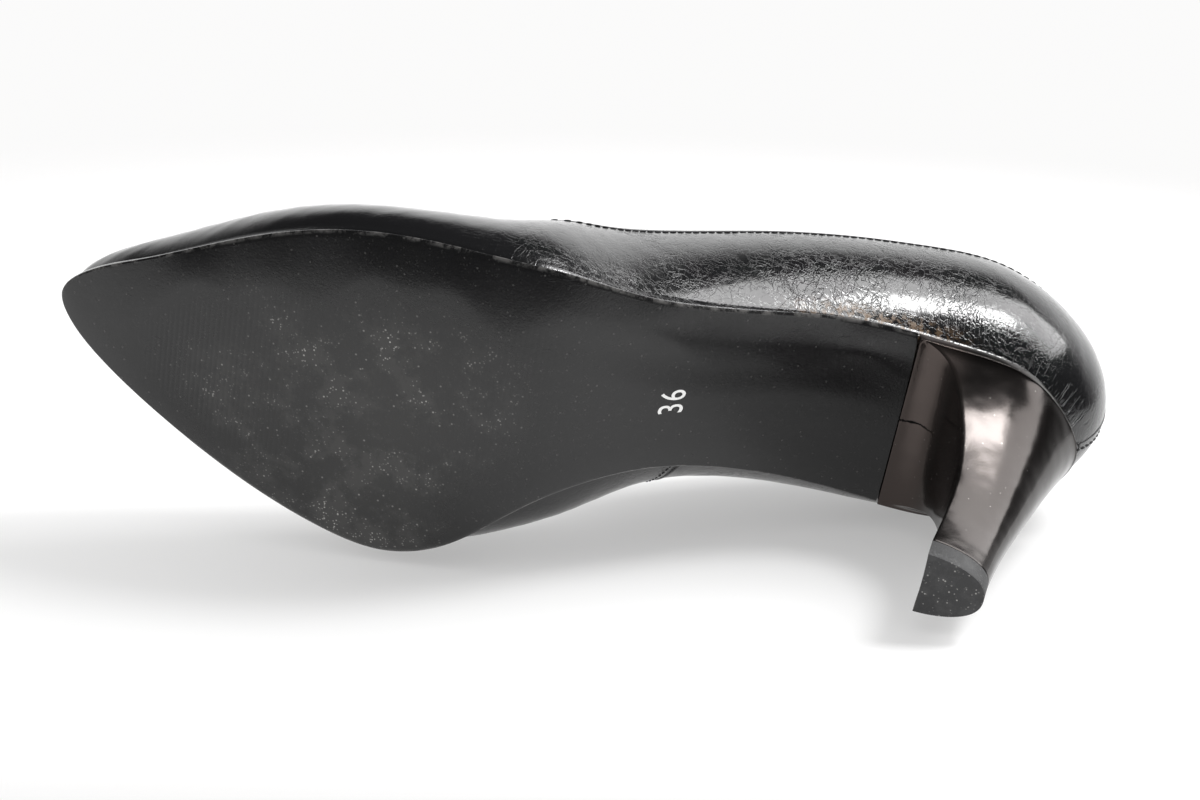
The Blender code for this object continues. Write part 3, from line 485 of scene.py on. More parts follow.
def ripple(place, height, amount):
    """Slow unevenness of hand-lasted leather: a sum of sines along the edge and up the wall."""
    rng = np.random.default_rng(36)
    total = np.zeros(np.broadcast(place, height).shape)
    for _ in range(14):
        along, up = rng.uniform(10, 62), rng.uniform(-16, 16)
        start = rng.uniform(0, 2 * math.pi)
        total += np.sin(2 * math.pi * (along * place + up * height * 0.6) + start) / (1 + 0.03 * along)
    return amount * total / 4


def wall_layer(name, start, end, out, thickness, columns, rows, turn_in, short=0.0):
    """Layer of the upper as a sheet with a thickness behind it. Its lasted margin is a curve
    (1-t)^2 wall + 2 (1-t) t corner + t^2 margin that turns under the form."""
    places = places_between(start, end, columns)
    feet = np.mod(places + 1, 2) - 1
    tops, heights = opening_at(feet)
    heights = np.where(heights < 1, heights - short, heights)
    under = UPPER_OUT - out
    foot = layer_point(feet, 0 * feet, out)
    corner = under_point(feet, FORM_INSET - out, SOLE_THICK + 0.08 + under)
    margin = under_point(feet, FORM_INSET - out + turn_in, SOLE_THICK + 0.08 + under)
    t = np.linspace(1, 0, 9)[:-1, None, None]
    rounding = (1 - t)**2 * foot + 2 * (1 - t) * t * corner + t * t * margin
    v = np.linspace(0, 1, rows)[:, None]
    leaned = feet + (tops - feet) * v
    climbed = heights * v
    wave = ripple(leaned, climbed, 0.055) * smooth(0, 0.12, climbed) * smooth(0, 0.06, 1 - climbed)
    wall = layer_point(leaned, heights * v, out + wave)
    points = np.concatenate([rounding, wall])
    run = np.concatenate([[0], np.cumsum(np.linalg.norm(np.diff(to_frame(foot), axis=0), axis=1))])
    steps_up = np.linalg.norm(np.diff(to_frame(points), axis=0), axis=2)
    climb = np.concatenate([[np.zeros(len(places))], np.cumsum(steps_up, axis=0)])
    uv = np.stack([np.broadcast_to(run, climb.shape), climb - climb[8]], axis=-1)
    quads = grid_faces(len(points), len(places))
    piece = mesh_of(name, points.reshape(-1, 3), quads, uv=uv.reshape(-1, 2), weld=0.004)
    solid = piece.modifiers.new("thickness", "SOLIDIFY")
    solid.thickness = thickness * MM
    solid.offset = -1
    solid.use_even_offset = False
    return piece


def stitches(name, centres, along, normal, pitch, radius):
    """Short beads of thread, each an ellipsoid that is pulled in at its ends: the point at turn a and
    reach s is centre + along * s * L + (across * cos a + normal * sin a) * r * sqrt(1 - s^2)."""
    reach = np.array([-0.94, -0.6, 0.0, 0.6, 0.94])
    turns = np.arange(6) * math.pi / 3
    thick = radius * np.sqrt(1 - reach**2)
    across = unit(np.cross(along, normal))
    cosine, sine = np.cos(turns)[None, None, :, None], np.sin(turns)[None, None, :, None]
    ring = across[:, None, None, :] * cosine + normal[:, None, None, :] * sine
    ahead = along[:, None, None, :] * (0.40 * pitch * reach)[None, :, None, None]
    points = centres[:, None, None, :] + ahead + ring * thick[None, :, None, None]
    one = grid_faces(5, 6, wrap_columns=True)
    block = 30
    faces = (np.arange(len(centres))[:, None, None] * block + one[None]).reshape(-1, 4)
    ends = []
    for i in range(len(centres)):
        ends.append(tuple(i * block + k for k in range(5, -1, -1)))
        ends.append(tuple(i * block + 24 + k for k in range(6)))
    return mesh_of(name, points.reshape(-1, 3), faces[:, ::-1], extra_faces=[e[::-1] for e in ends])


def tube(name, points, radius, sides=6):
    """Round thread along a line of points: each ring is square to the line."""
    points = np.asarray(points, float)
    along = unit(np.gradient(points, axis=0))
    guide = np.broadcast_to(np.array([0.3, 0.5, 0.8]), along.shape)
    across = unit(np.cross(along, guide))
    third = np.cross(along, across)
    turns = np.arange(sides) * 2 * math.pi / sides
    taper = np.broadcast_to(radius, len(points))[:, None, None]
    circle = across[:, None] * np.cos(turns)[None, :, None] + third[:, None] * np.sin(turns)[None, :, None]
    rings = points[:, None] + circle * taper
    count = len(points)
    ends = [tuple(range(sides))[::-1], tuple((count - 1) * sides + k for k in range(sides))]
    return mesh_of(name, rings.reshape(-1, 3), grid_faces(count, sides, wrap_columns=True), extra_faces=ends)


# ---- shader maths -------------------------------------------------------------------------

class Value:
    """A shader socket that sums, products and powers can be written with."""

    def __init__(self, recipe, socket):
        self.recipe = recipe
        self.socket = socket

    def _math(self, operation, first, second):
        return self.recipe.node("ShaderNodeMath", (first, second), operation=operation)

    def __add__(self, other):
        return self._math("ADD", self, other)

    def __radd__(self, other):
        return self._math("ADD", other, self)

    def __sub__(self, other):
        return self._math("SUBTRACT", self, other)

    def __rsub__(self, other):
        return self._math("SUBTRACT", other, self)

    def __mul__(self, other):
        return self._math("MULTIPLY", self, other)

    def __rmul__(self, other):
        return self._math("MULTIPLY", other, self)

    def __truediv__(self, other):
        return self._math("DIVIDE", self, other)

    def __pow__(self, other):
        return self._math("POWER", self, other)


class Recipe:
    """A material made step by step. Every node comes from node()."""

    def __init__(self, name, **constants):
        self.material = bpy.data.materials.new(name)
        self.material.use_nodes = True
        self.tree = self.material.node_tree
        self.shader = self.tree.nodes["Principled BSDF"]
        for socket, value in constants.items():
            self.set(socket.replace("_", " "), value)

    def set(self, socket, value):
        """Feeds one of the shader's sockets with a value or a link."""
        target = self.shader.inputs[socket]
        if isinstance(value, Value):
            self.tree.links.new(value.socket, target)
        elif isinstance(value, (tuple, list)) and len(value) == 3:
            target.default_value = (*value, 1.0)
        else:
            target.default_value = value

    def node(self, kind, values=(), output=0, **settings):
        """Adds a node: its settings, then the values or links of its sockets, given in order or by
        name. Returns one of its outputs."""
        made = self.tree.nodes.new(kind)
        stops = settings.pop("stops", None)
        for setting, value in settings.items():
            setattr(made, setting, value)
        if stops:
            ramp_stops = made.color_ramp.elements
            while len(ramp_stops) < len(stops):
                ramp_stops.new(0.5)
            for stop, (position, shade) in zip(ramp_stops, stops):
                stop.position = position
                stop.color = (*shade, 1.0)
        pairs = values.items() if isinstance(values, dict) else enumerate(values)
        for key, value in pairs:
            if isinstance(value, Value):
                self.tree.links.new(value.socket, made.inputs[key])
            else:
                made.inputs[key].default_value = value
        return Value(self, made.outputs[output])

    def place(self):
        """Object coordinates, in metres in the shoe's frame."""
        return self.node("ShaderNodeTexCoord", output="Object")

    def uv(self):
        return self.node("ShaderNodeUVMap", uv_map="UVMap")

    def stretched(self, where, scale, turn=(0.0, 0.0, 0.0)):
        return self.node("ShaderNodeMapping", {"Vector": where, "Scale": scale, "Rotation": turn})

    def noise(self, where, scale, detail=3.0, rough=0.55, warp=0.0):
        values = {"Vector": where, "Scale": scale, "Detail": detail, "Roughness": rough, "Distortion": warp}
        return self.node("ShaderNodeTexNoise", values)

    def cells(self, where, scale, feature="F1", output="Distance"):
        values = {"Vector": where, "Scale": scale}
        return self.node("ShaderNodeTexVoronoi", values, output=output, feature=feature)

    def fold(self, where, scale, width):
        """Winding creases: 1 where a noise passes its middle value, falling to 0 beside it."""
        level = self.noise(where, scale, 3.0, 0.5) - 0.5
        away = self.node("ShaderNodeMath", (level,), operation="ABSOLUTE")
        return self.between(away, width, 0.0)

    def between(self, value, low, high):
        """0 at low, 1 at high, and smooth between. With low above high it falls."""
        values = {"Value": value, "From Min": low, "From Max": high}
        return self.node("ShaderNodeMapRange", values, interpolation_type="SMOOTHSTEP")

    def near(self, where, point, reach, soft):
        """1 within reach of a point of the shoe, falling to 0 over soft, in millimetres."""
        centre = tuple(float(v) for v in to_frame(point))
        distance = self.node("ShaderNodeVectorMath", (where, centre), output="Value", operation="DISTANCE")
        return self.between(distance, (reach + soft) * MM, reach * MM)

    def blend(self, amount, first, second):
        """Colour that goes from first to second."""
        made = self.tree.nodes.new("ShaderNodeMix")
        made.data_type = "RGBA"
        for key, value in (("Factor", amount), ("A", first), ("B", second)):
            socket = [s for s in made.inputs if s.name == key and (s.type == "RGBA" or key == "Factor")][0]
            if isinstance(value, Value):
                self.tree.links.new(value.socket, socket)
            elif isinstance(value, (tuple, list)) or hasattr(value, "__len__"):
                socket.default_value = (*tuple(value)[:3], 1.0)
            else:
                socket.default_value = value
        result = [s for s in made.outputs if s.type == "RGBA"][0]
        return Value(self, result)

    def bump(self, height, distance, strength=1.0):
        values = {"Height": height, "Distance": distance, "Strength": strength}
        self.set("Normal", self.node("ShaderNodeBump", values))


def axis(recipe, where, name):
    return recipe.node("ShaderNodeSeparateXYZ", (where,), output=name)


def patent_finish():
    """Crinkled patent leather: short creases that run up the wall and break into cells, strongest on
    the quarters, pleats above the feather edge of the heel, and a brown rub over the waist."""
    colours = bpy.context.scene.pump_colours
    r = Recipe("crinkled_patent", Specular_IOR_Level=0.55)
    where = r.place()
    uv = r.uv()
    side_back = axis(r, where, "Y")
    quarter = r.between(side_back, -0.035, 0.02)
    heel = r.between(side_back, 0.055, 0.095)
    wall = axis(r, uv, "Y")
    warped = r.node("ShaderNodeVectorMath", (where, r.node("ShaderNodeVectorMath", (
        r.node("ShaderNodeTexNoise", {"Vector": where, "Scale": 160.0, "Detail": 2.0}, output="Color"),
        (0.004, 0.004, 0.004)), operation="MULTIPLY")), operation="ADD")
    slanted = r.stretched(warped, (1.0, 1.7, 0.62), (0.55, 0.0, 0.0))
    crease = 0.7 * r.fold(slanted, 300.0, 0.040)
    crease = crease + 0.5 * r.fold(r.stretched(warped, (1.0, 0.7, 1.5)), 430.0, 0.030)
    small = 1 - r.between(r.cells(r.stretched(warped, (1.0, 1.2, 0.8)), 800.0, "DISTANCE_TO_EDGE"), 0.0, 0.20)
    patches = r.between(r.noise(where, 55.0, 2.0), 0.40, 0.62)
    fine = r.noise(where, 1500.0, 2.0, 0.5)
    soft = r.noise(r.stretched(warped, (1.0, 1.8, 0.55), (0.5, 0.0, 0.0)), 330.0, 3.0, 0.5)
    strength = 0.18 + 0.82 * quarter * (1 - 0.55 * heel)
    creases = crease * (0.35 + 0.65 * patches) * strength
    low = r.between(wall, 0.009, 0.001)
    rays = r.noise(r.stretched(uv, (1500.0, 120.0, 1.0)), 1.0, 2.0, 0.6)
    pleat = r.between(rays, 0.56, 0.70) * low * heel
    height = soft * 0.50 * strength - creases * 0.50 - small * 0.14 * patches * strength
    height = height + fine * 0.03 - pleat * 2.0
    r.bump(height, 0.00013)
    rub_noise = r.between(r.noise(where, 700.0, 4.0, 0.7), 0.46, 0.60)
    rub = r.near(where, (26.0, 168.0, 55.0), 5.0, 22.0) * r.between(wall, 0.0050, 0.0015) * rub_noise
    r.set("Base Color", r.blend(rub, colours.patent, colours.patent_rub))
    haze = r.between(r.noise(where, 38.0, 4.0, 0.6), 0.45, 0.75)
    r.set("Roughness", 0.13 + haze * 0.05 + creases * 0.10 + pleat * 0.3 + rub * 0.25)
    return r.material


def fold_finish():
    """The folded edge: the same patent leather, stretched nearly smooth."""
    colours = bpy.context.scene.pump_colours
    r = Recipe("folded_patent", Base_Color=tuple(colours.patent), Specular_IOR_Level=0.55)
    where = r.place()
    grain = r.noise(where, 900.0, 4.0, 0.6)
    r.bump(grain + 0.3 * r.noise(where, 3000.0, 2.0), 0.00012)
    r.set("Roughness", 0.14 + grain * 0.12)
    return r.material


def sole_finish():
    """Moulded sole: satin with a micro grain, pale dust and speckles ground into the tread, faint
    scratches, and a lighter worn line along the edge."""
    colours = bpy.context.scene.pump_colours
    r = Recipe("moulded_sole", Specular_IOR_Level=0.5)
    where = r.place()
    uv = r.uv()
    grain = r.noise(where, 2400.0, 3.0, 0.7)
    pitted = r.noise(where, 700.0, 3.0, 0.6)
    tread = (r.near(where, (-4.0, 62.0, 0.0), 12.0, 26.0) + r.near(where, (8.0, 84.0, 0.0), 8.0, 20.0)
             + r.near(where, (-22.0, 78.0, 0.0), 6.0, 14.0))
    cloud = r.between(r.noise(where, 75.0, 6.0, 0.68), 0.44, 0.66)
    dusty = r.node("ShaderNodeClamp", (tread * (0.25 + 0.75 * cloud),))
    speck = r.between(r.cells(where, 1500.0), 0.36, 0.20) * r.between(r.noise(where, 620.0, 3.0), 0.48, 0.58)
    rare = r.between(r.cells(r.stretched(where, (1.0, 1.0, 1.0), (0.3, 0.8, 0.2)), 420.0), 0.12, 0.06)
    flecks = r.node("ShaderNodeClamp", (speck * (dusty * cloud * 0.9 + 0.03) + rare * (0.10 + 0.6 * dusty),))
    at_edge = r.between(axis(r, uv, "X"), 0.0009, 0.0001)
    worn = at_edge * r.between(r.noise(where, 300.0, 4.0, 0.7), 0.42, 0.62)
    streaks = r.stretched(where, (420.0, 30.0, 60.0), (0.0, 0.0, 0.9))
    scratches = r.between(r.noise(streaks, 1.0, 4.0, 0.7), 0.66, 0.72)
    base = r.blend(dusty * 0.075, colours.sole, colours.dust)
    base = r.blend(flecks * 0.75, base, colours.dust)
    base = r.blend(worn * 0.25, base, (0.30, 0.29, 0.28))
    r.set("Base Color", base)
    r.set("Roughness", 0.20 + 0.10 * pitted + dusty * 0.30 + flecks * 0.2 + scratches * 0.06)
    r.bump(grain * 0.5 + pitted * 0.35 + scratches * 0.2 + dusty * cloud * 0.2, 0.00008)
    return r.material


def heel_finish():
    """Gunmetal coating over moulded plastic: mirror-like, slightly wavy, with cracks, dark rubs where
    it has worn off, and fine dust."""
    colours = bpy.context.scene.pump_colours
    r = Recipe("gunmetal_coating", Metallic=0.92)
    where = r.place()
    wave = r.noise(where, 85.0, 2.0, 0.5)
    crack_warp = r.noise(where, 420.0, 3.0, 0.6)
    rub_spot = r.near(where, (15.0, 180.5, 47.0), 2.0, 6.0) + r.near(where, (-4.0, 181.0, 48.0), 1.0, 3.5)
    rub = r.node("ShaderNodeClamp", (rub_spot * r.between(r.noise(where, 330.0, 4.0, 0.7), 0.50, 0.62),))
    side_way = axis(r, where, "X") * 1000.0 + crack_warp * 2.2
    breast = r.between(axis(r, where, "Y"), 0.078, 0.071) * r.between(axis(r, where, "Z"), 0.036, 0.040)
    line_at = (ORIGIN[0] * 1000.0) + 2.5
    away = r.node("ShaderNodeMath", (side_way - line_at - 1.1,), operation="ABSOLUTE")
    crack = r.between(away, 0.30, 0.10) * breast
    speck = r.between(r.cells(where, 640.0), 0.09, 0.03) * r.between(r.noise(where, 260.0), 0.46, 0.56)
    # Painted reflection: the front of the heel's breast gets a lighter copy of the coating's colour, which
    # stands in for the light that this face reflects.
    face = r.between(axis(r, where, "Y"), 0.081, 0.074) * r.between(axis(r, where, "Z"), 0.024, 0.034)
    base = r.blend(face, colours.heel, (0.078, 0.064, 0.059))
    base = r.blend(rub * 0.95, base, (0.006, 0.006, 0.007))
    base = r.blend(crack, base, (0.004, 0.004, 0.004))
    base = r.blend(speck * 0.5, base, (0.4, 0.38, 0.36))
    r.set("Base Color", base)
    r.set("Roughness", 0.13 + 0.06 * wave + rub * 0.2 + speck * 0.3 + crack * 0.3)
    r.bump(wave * 1.0 - crack * 0.5 - rub * 0.2 + 0.02 * r.noise(where, 1800.0, 2.0), 0.0003)
    return r.material


def lift_finish():
    """Hard rubber with a ground face: fine grit, pale grains and scuffs."""
    colours = bpy.context.scene.pump_colours
    r = Recipe("heel_rubber")
    where = r.place()
    grit = r.noise(where, 2000.0, 4.0, 0.7)
    blot = r.between(r.noise(where, 260.0, 4.0, 0.65), 0.42, 0.70)
    under = r.between(axis(r, where, "Z"), 0.0006, 0.0001)
    grains = r.between(r.cells(where, 1200.0), 0.30, 0.16) * r.between(r.noise(where, 900.0, 2.0), 0.46, 0.60)
    base = r.blend(blot * 0.35, colours.lift, (0.07, 0.07, 0.07))
    base = r.blend(grains * (0.10 + 0.5 * under), base, (0.45, 0.44, 0.42))
    r.set("Base Color", base)
    r.set("Roughness", 0.50 + 0.2 * grit)
    r.bump(grit * 0.7 + blot * 0.5 + grains * 0.3, 0.00014)
    return r.material


def leather_finish(name, shade, scale):
    """Smooth lining leather: fine pores and a slow change of shade."""
    r = Recipe(name, Specular_IOR_Level=0.4)
    where = r.place()
    pores = r.between(r.cells(where, 1500.0 * scale), 0.0, 0.34)
    mottle = r.noise(where, 60.0, 4.0, 0.6)
    dark = tuple(0.72 * channel for channel in shade)
    r.set("Base Color", r.blend(r.between(mottle, 0.3, 0.72), dark, tuple(shade)))
    r.set("Roughness", 0.46 + 0.16 * mottle)
    r.bump(pores * 0.5 + 0.5 * r.noise(where, 900.0, 3.0), 0.00010)
    return r.material


def plain_finish(name, shade, rough, metallic=0.0, scale=900.0, depth=0.0001):
    """Finish of a piece inside: its own shade, mottled, with a fine tooth."""
    r = Recipe(name, Metallic=metallic)
    where = r.place()
    mottle = r.noise(where, scale * 0.2, 4.0, 0.6)
    tooth = r.noise(where, scale, 3.0, 0.6)
    darker = tuple(0.75 * channel for channel in shade)
    lighter = tuple(min(1.0, 1.15 * channel) for channel in shade)
    r.set("Base Color", r.blend(mottle, darker, lighter))
    r.set("Roughness", rough + 0.12 * tooth)
    r.bump(tooth, depth)
    return r.material


def thread_finish():
    """Twisted thread: a fine slant twist."""
    colours = bpy.context.scene.pump_colours
    r = Recipe("black_thread", Base_Color=tuple(colours.thread), Specular_IOR_Level=0.3)
    where = r.place()
    twist = r.noise(r.stretched(where, (3000.0, 900.0, 3000.0), (0.4, 0.2, 0.7)), 1.0, 2.0)
    r.set("Roughness", 0.5 + twist * 0.25)
    r.bump(twist, 0.00008)
    return r.material


def print_finish():
    """Printed numbers: an even pale ink, slightly worn."""
    colours = bpy.context.scene.pump_colours
    r = Recipe("size_print")
    where = r.place()
    wear = r.between(r.noise(where, 1400.0, 3.0, 0.6), 0.60, 0.75)
    r.set("Base Color", r.blend(wear * 0.35, colours.digits, (0.35, 0.35, 0.35)))
    r.set("Roughness", 0.5 + wear * 0.2)
    return r.material


# ---- pieces -------------------------------------------------------------------------------

def build_upper():
    sizes = bpy.context.scene.pump_sizes
    gap = SEAM_GAP / EDGE_BACK
    finish = patent_finish()
    making = (UPPER_THICK, sizes.columns, sizes.rows, UPPER_TURNED_IN)
    outer = wall_layer("upper_vamp_outer", SIDE_SEAM + gap, 1 - gap, UPPER_OUT, *making)
    belong(outer, finish, "patent_upper", "vamp_outer_quarter")
    inner = wall_layer("upper_inner_quarter", -1 + gap, SIDE_SEAM - gap, UPPER_OUT - 0.05, *making)
    belong(inner, finish, "patent_upper", "inner_quarter")


def folded_edge():
    """Cap over the edges of upper and lining. In the plane across the edge its outline is a
    superellipse: out = middle + w cos(a)|cos(a)|^-0.4, down = fold/2 - (fold/2) sin(a)|sin(a)|^-0.4."""
    sizes = bpy.context.scene.pump_sizes
    fold = sizes.fold / MM
    count = 720
    line, _, normal, down = opening_line(count, 0.0, 0.0)
    turn = np.arange(20) * 2 * math.pi / 20
    cosine, sine = np.cos(turn), np.sin(turn)
    wide = np.sign(cosine) * np.abs(cosine)**0.6
    tall = np.sign(sine) * np.abs(sine)**0.7
    middle = 0.5 * (UPPER_OUT + 0.12 + LINING_IN - 0.05)
    half = 0.5 * (UPPER_OUT + 0.12 - LINING_IN + 0.05)
    out = middle + half * wide
    drop = 0.5 * fold - 0.5 * (fold + 0.5) * tall
    points = line[:, None] + normal[:, None] * out[None, :, None] + down[:, None] * drop[None, :, None]
    return mesh_of("folded_edge", points.reshape(-1, 3), grid_faces(count, 20, True, True)[:, ::-1])


def build_opening():
    sizes = bpy.context.scene.pump_sizes
    belong(folded_edge(), fold_finish(), "patent_upper", "topline_tape")
    line, _, _, _ = opening_line(2000, UPPER_OUT, 0.0)
    around = np.linalg.norm(np.roll(line, -1, axis=0) - line, axis=1).sum()
    count = int(around * MM / sizes.stitch_pitch)
    centres, along, normal, _ = opening_line(count, UPPER_OUT + 0.02, sizes.stitch_inset / MM)
    row = stitches("topline_stitches", centres, along, normal, sizes.stitch_pitch / MM, 0.22)
    belong(row, thread_finish(), "black_thread", "topline_thread")


def wall_line(place, shares, out):
    """Points up the wall at one place, with their directions along it and out of it."""
    places = np.full(len(shares), place)
    top = opening_at(places)[1]
    points = layer_point(places, shares * top, out)
    return points, unit(np.gradient(points, axis=0)), form_normal(places, shares * top)


def build_seams():
    sizes = bpy.context.scene.pump_sizes
    finish = thread_finish()
    pitch = sizes.stitch_pitch / MM
    for name, place, node in (("side_seam_stitches", SIDE_SEAM + 1.5 / EDGE_BACK, "side_seam_thread"),
                              ("back_seam_stitches", -1 + 1.4 / EDGE_BACK, "back_seam_thread")):
        shares = np.linspace(0.02, 0.95, 400)
        points, along, normal = wall_line(place, shares, UPPER_OUT + 0.02)
        travelled = np.concatenate([[0], np.cumsum(np.linalg.norm(np.diff(points, axis=0), axis=1))])
        at = np.arange(0.5 * pitch, travelled[-1], pitch)
        pick = np.searchsorted(travelled, at)
        row = stitches(name, points[pick], along[pick], normal[pick], pitch, 0.22)
        belong(row, finish, "black_thread", node)

    patent = fold_finish()
    for name, place in (("side_seam_lap", SIDE_SEAM), ("back_seam_lap", 1.0)):
        shares = np.linspace(0.0, 0.985, 90)
        points, along, normal = wall_line(place, shares, UPPER_OUT - 0.15)
        across = unit(np.cross(along, normal))
        turn = np.arange(12) * 2 * math.pi / 12
        wide = 0.55 * np.cos(turn)
        high = 0.30 * np.sin(turn) + 0.02
        shift = 0.55 if place < 0 else 0.0
        ring = points[:, None] + across[:, None] * (wide - shift)[None, :, None]
        ring = ring + normal[:, None] * high[None, :, None]
        ends = [tuple(range(12)), tuple(89 * 12 + k for k in range(11, -1, -1))]
        lap = mesh_of(name, ring.reshape(-1, 3), grid_faces(90, 12, True)[:, ::-1], extra_faces=ends)
        shape = bmesh.new()
        shape.from_mesh(lap.data)
        bmesh.ops.recalc_face_normals(shape, faces=shape.faces)
        shape.to_mesh(lap.data)
        shape.free()
        belong(lap, patent, "patent_upper")

    rng = np.random.default_rng(7)
    for number in range(9):
        root, lift = 0.998 + 0.004 * rng.random(), 0.008 + 0.03 * rng.random()
        start = layer_point(np.array([root]), np.array([lift]), np.array([UPPER_OUT]))[0]
        way = np.array([rng.uniform(-0.9, 0.9), rng.uniform(0.1, 0.5), rng.uniform(-0.8, 0.3)])
        t = np.linspace(0, 1, 9)[:, None]
        curl = np.array([rng.uniform(-1, 1), rng.uniform(-0.2, 0.3), rng.uniform(-1, 0.4)])
        points = start + way * t * rng.uniform(1.2, 2.6) + curl * t * t * 0.8
        loose = tube(f"loose_thread_{number + 1}", points, np.linspace(0.16, 0.05, 9))
        belong(loose, finish, "black_thread")


def build_linings():
    """Lining, heel grip and sock: the inside of the shoe."""
    colours = bpy.context.scene.pump_colours
    lining = leather_finish("lining_leather", colours.lining, 1.0)
    gap = LINING_GAP / EDGE_BACK
    vamp = wall_layer("lining_vamp", -GRIP_PLACE + gap, GRIP_PLACE - gap, LINING_OUT, LINING_THICK,
                      130, 34, LINING_TURNED_IN, LINING_SHORT)
    belong(vamp, lining, "lining", "vamp_lining")
    grip = wall_layer("lining_heel_grip", GRIP_PLACE + gap, 2 - GRIP_PLACE - gap, LINING_OUT - 0.1,
                      LINING_THICK, 110, 34, LINING_TURNED_IN, LINING_SHORT)
    grip_shade = tuple(0.92 * channel for channel in colours.lining)
    belong(grip, leather_finish("heel_grip_leather", grip_shade, 0.7), "lining", "heel_grip")
    sock = flat_piece("sock", SOCK_LOW, SOCK_TOP, FORM_INSET + 0.5, 3.0, SOLE_LENGTH, 240, 24, 1.1)
    belong(sock, leather_finish("sock_leather", colours.sock, 1.0), "sock", "sock_lining", "sock_foam")


def outline_sides(inset):
    """Outer and inner side of the sole's outline moved in by an inset, as arrays over back."""
    sides = []
    for sign in (1, -1):
        edge = edge_at(sign * DENSE) - inset * edge_outward(sign * DENSE)
        rising = edge[:, 1] >= np.maximum.accumulate(edge[:, 1])
        sides.append(edge[rising])
    backs = np.linspace(0, SOLE_LENGTH, 8001)
    outer = np.interp(backs, sides[0][:, 1], sides[0][:, 0])
    inner = np.interp(backs, sides[1][:, 1], sides[1][:, 0])
    first = max(sides[0][0, 1], sides[1][0, 1])
    last = min(sides[0][-1, 1], sides[1][-1, 1])
    wide = (outer - inner > 0.3) & (backs > first) & (backs < last)
    return backs[wide], outer[wide], inner[wide]


def flat_piece(name, low, high, inset, front, back, stations, across, rounding):
    """Flat layer with a rounded upper rim: top level = high - rounding (1 - sqrt(1 - (1 - d)^2)),
    where d is the distance from the rim over the rounding, up to 1."""
    backs, outer, inner = outline_sides(inset)
    front, back = max(front, backs[0]), min(back, backs[-1])
    at = front + (back - front) * 0.5 * (1 - np.cos(math.pi * np.linspace(0, 1, stations)))
    left, right = np.interp(at, backs, outer), np.interp(at, backs, inner)
    t = 0.5 * (1 + np.cos(math.pi * np.linspace(0, 1, across)))
    side = right[:, None] + (left - right)[:, None] * t[None, :]
    width = (left - right)[:, None]
    rim = np.minimum(np.minimum(t, 1 - t)[None, :] * width, np.minimum(at - front, back - at)[:, None])
    d = np.clip(rim / rounding, 0, 1)
    level = high - rounding * (1 - np.sqrt(1 - (1 - d)**2))
    top = bottom_point(side, at[:, None], level)
    under = bottom_point(side[:, ::-1], at[:, None], low)
    points = np.concatenate([top, under], axis=1)
    count = 2 * across
    ends = [tuple(range(count)), tuple((stations - 1) * count + k for k in range(count - 1, -1, -1))]
    faces = grid_faces(stations, count, True)[:, ::-1]
    return mesh_of(name, points.reshape(-1, 3), faces, extra_faces=ends)


def sole_stations():
    """Backs of the sole's rows: closer at the toe, where the outline is round, and fine enough over
    the tread for its ridges."""
    tip = 18.0 * np.linspace(0, 1, 46)**2
    tread = np.linspace(18.0, 116.0, 450)
    waist = np.linspace(116.0, BREAST_BACK, 90)
    return np.unique(np.concatenate([tip, tread, waist]))


def sole_level(side, back, left, right):
    """Level of the sole's underside: relief * (1 - d / reach)^1.5 towards the outer edge, a wave along the
    waist, fine cross ridges in a lens-shaped field, and a rounded rim."""
    sizes = bpy.context.scene.pump_sizes
    relief = sizes.edge_relief / MM
    to_outer = left - side
    to_inner = side - right
    waist = smooth(100, 125, back)
    end = smooth(BREAST_BACK + 4, BREAST_BACK - 14, back)
    uneven = 1 + 0.22 * np.sin(back / 7.3) + 0.13 * np.sin(back / 3.1 + 1.0)
    reach_outer = (12.5 - 1.5 * waist) * uneven
    rise_outer = relief * np.clip(1 - to_outer / reach_outer, 0, 1)**1.5
    rise_inner = 0.45 * relief * np.clip(1 - to_inner / 8.0, 0, 1)**2
    level = (rise_outer + rise_inner) * (0.35 + 0.65 * smooth(4.0, 30.0, back))
    swell = np.cos(2 * math.pi * (to_outer - 14.0 + 2.5 * smooth(130, 175, back)) / 15.0)
    field = smooth(5.0, 9.0, to_outer) * smooth(25.0, 18.0, to_outer)
    level = level + WAIST_WAVE * waist * end * field * (1 + swell)
    groove = (0.5 + 0.5 * np.cos(2 * math.pi * back * MM / sizes.ridge_pitch))**4
    from_edges = np.minimum(to_outer - 5.0, to_inner)
    lens = smooth(18, 30, back) * smooth(116, 104, back) * smooth(5.0, 12.0, from_edges)
    worn = 1 - 0.85 * np.exp(-((back - 72) / 17)**2)
    level = level + sizes.ridge_depth / MM * groove * lens * worn
    rim = np.minimum(to_outer, to_inner)
    return level + 0.30 * np.clip(1 - rim / 0.45, 0, 1)**2


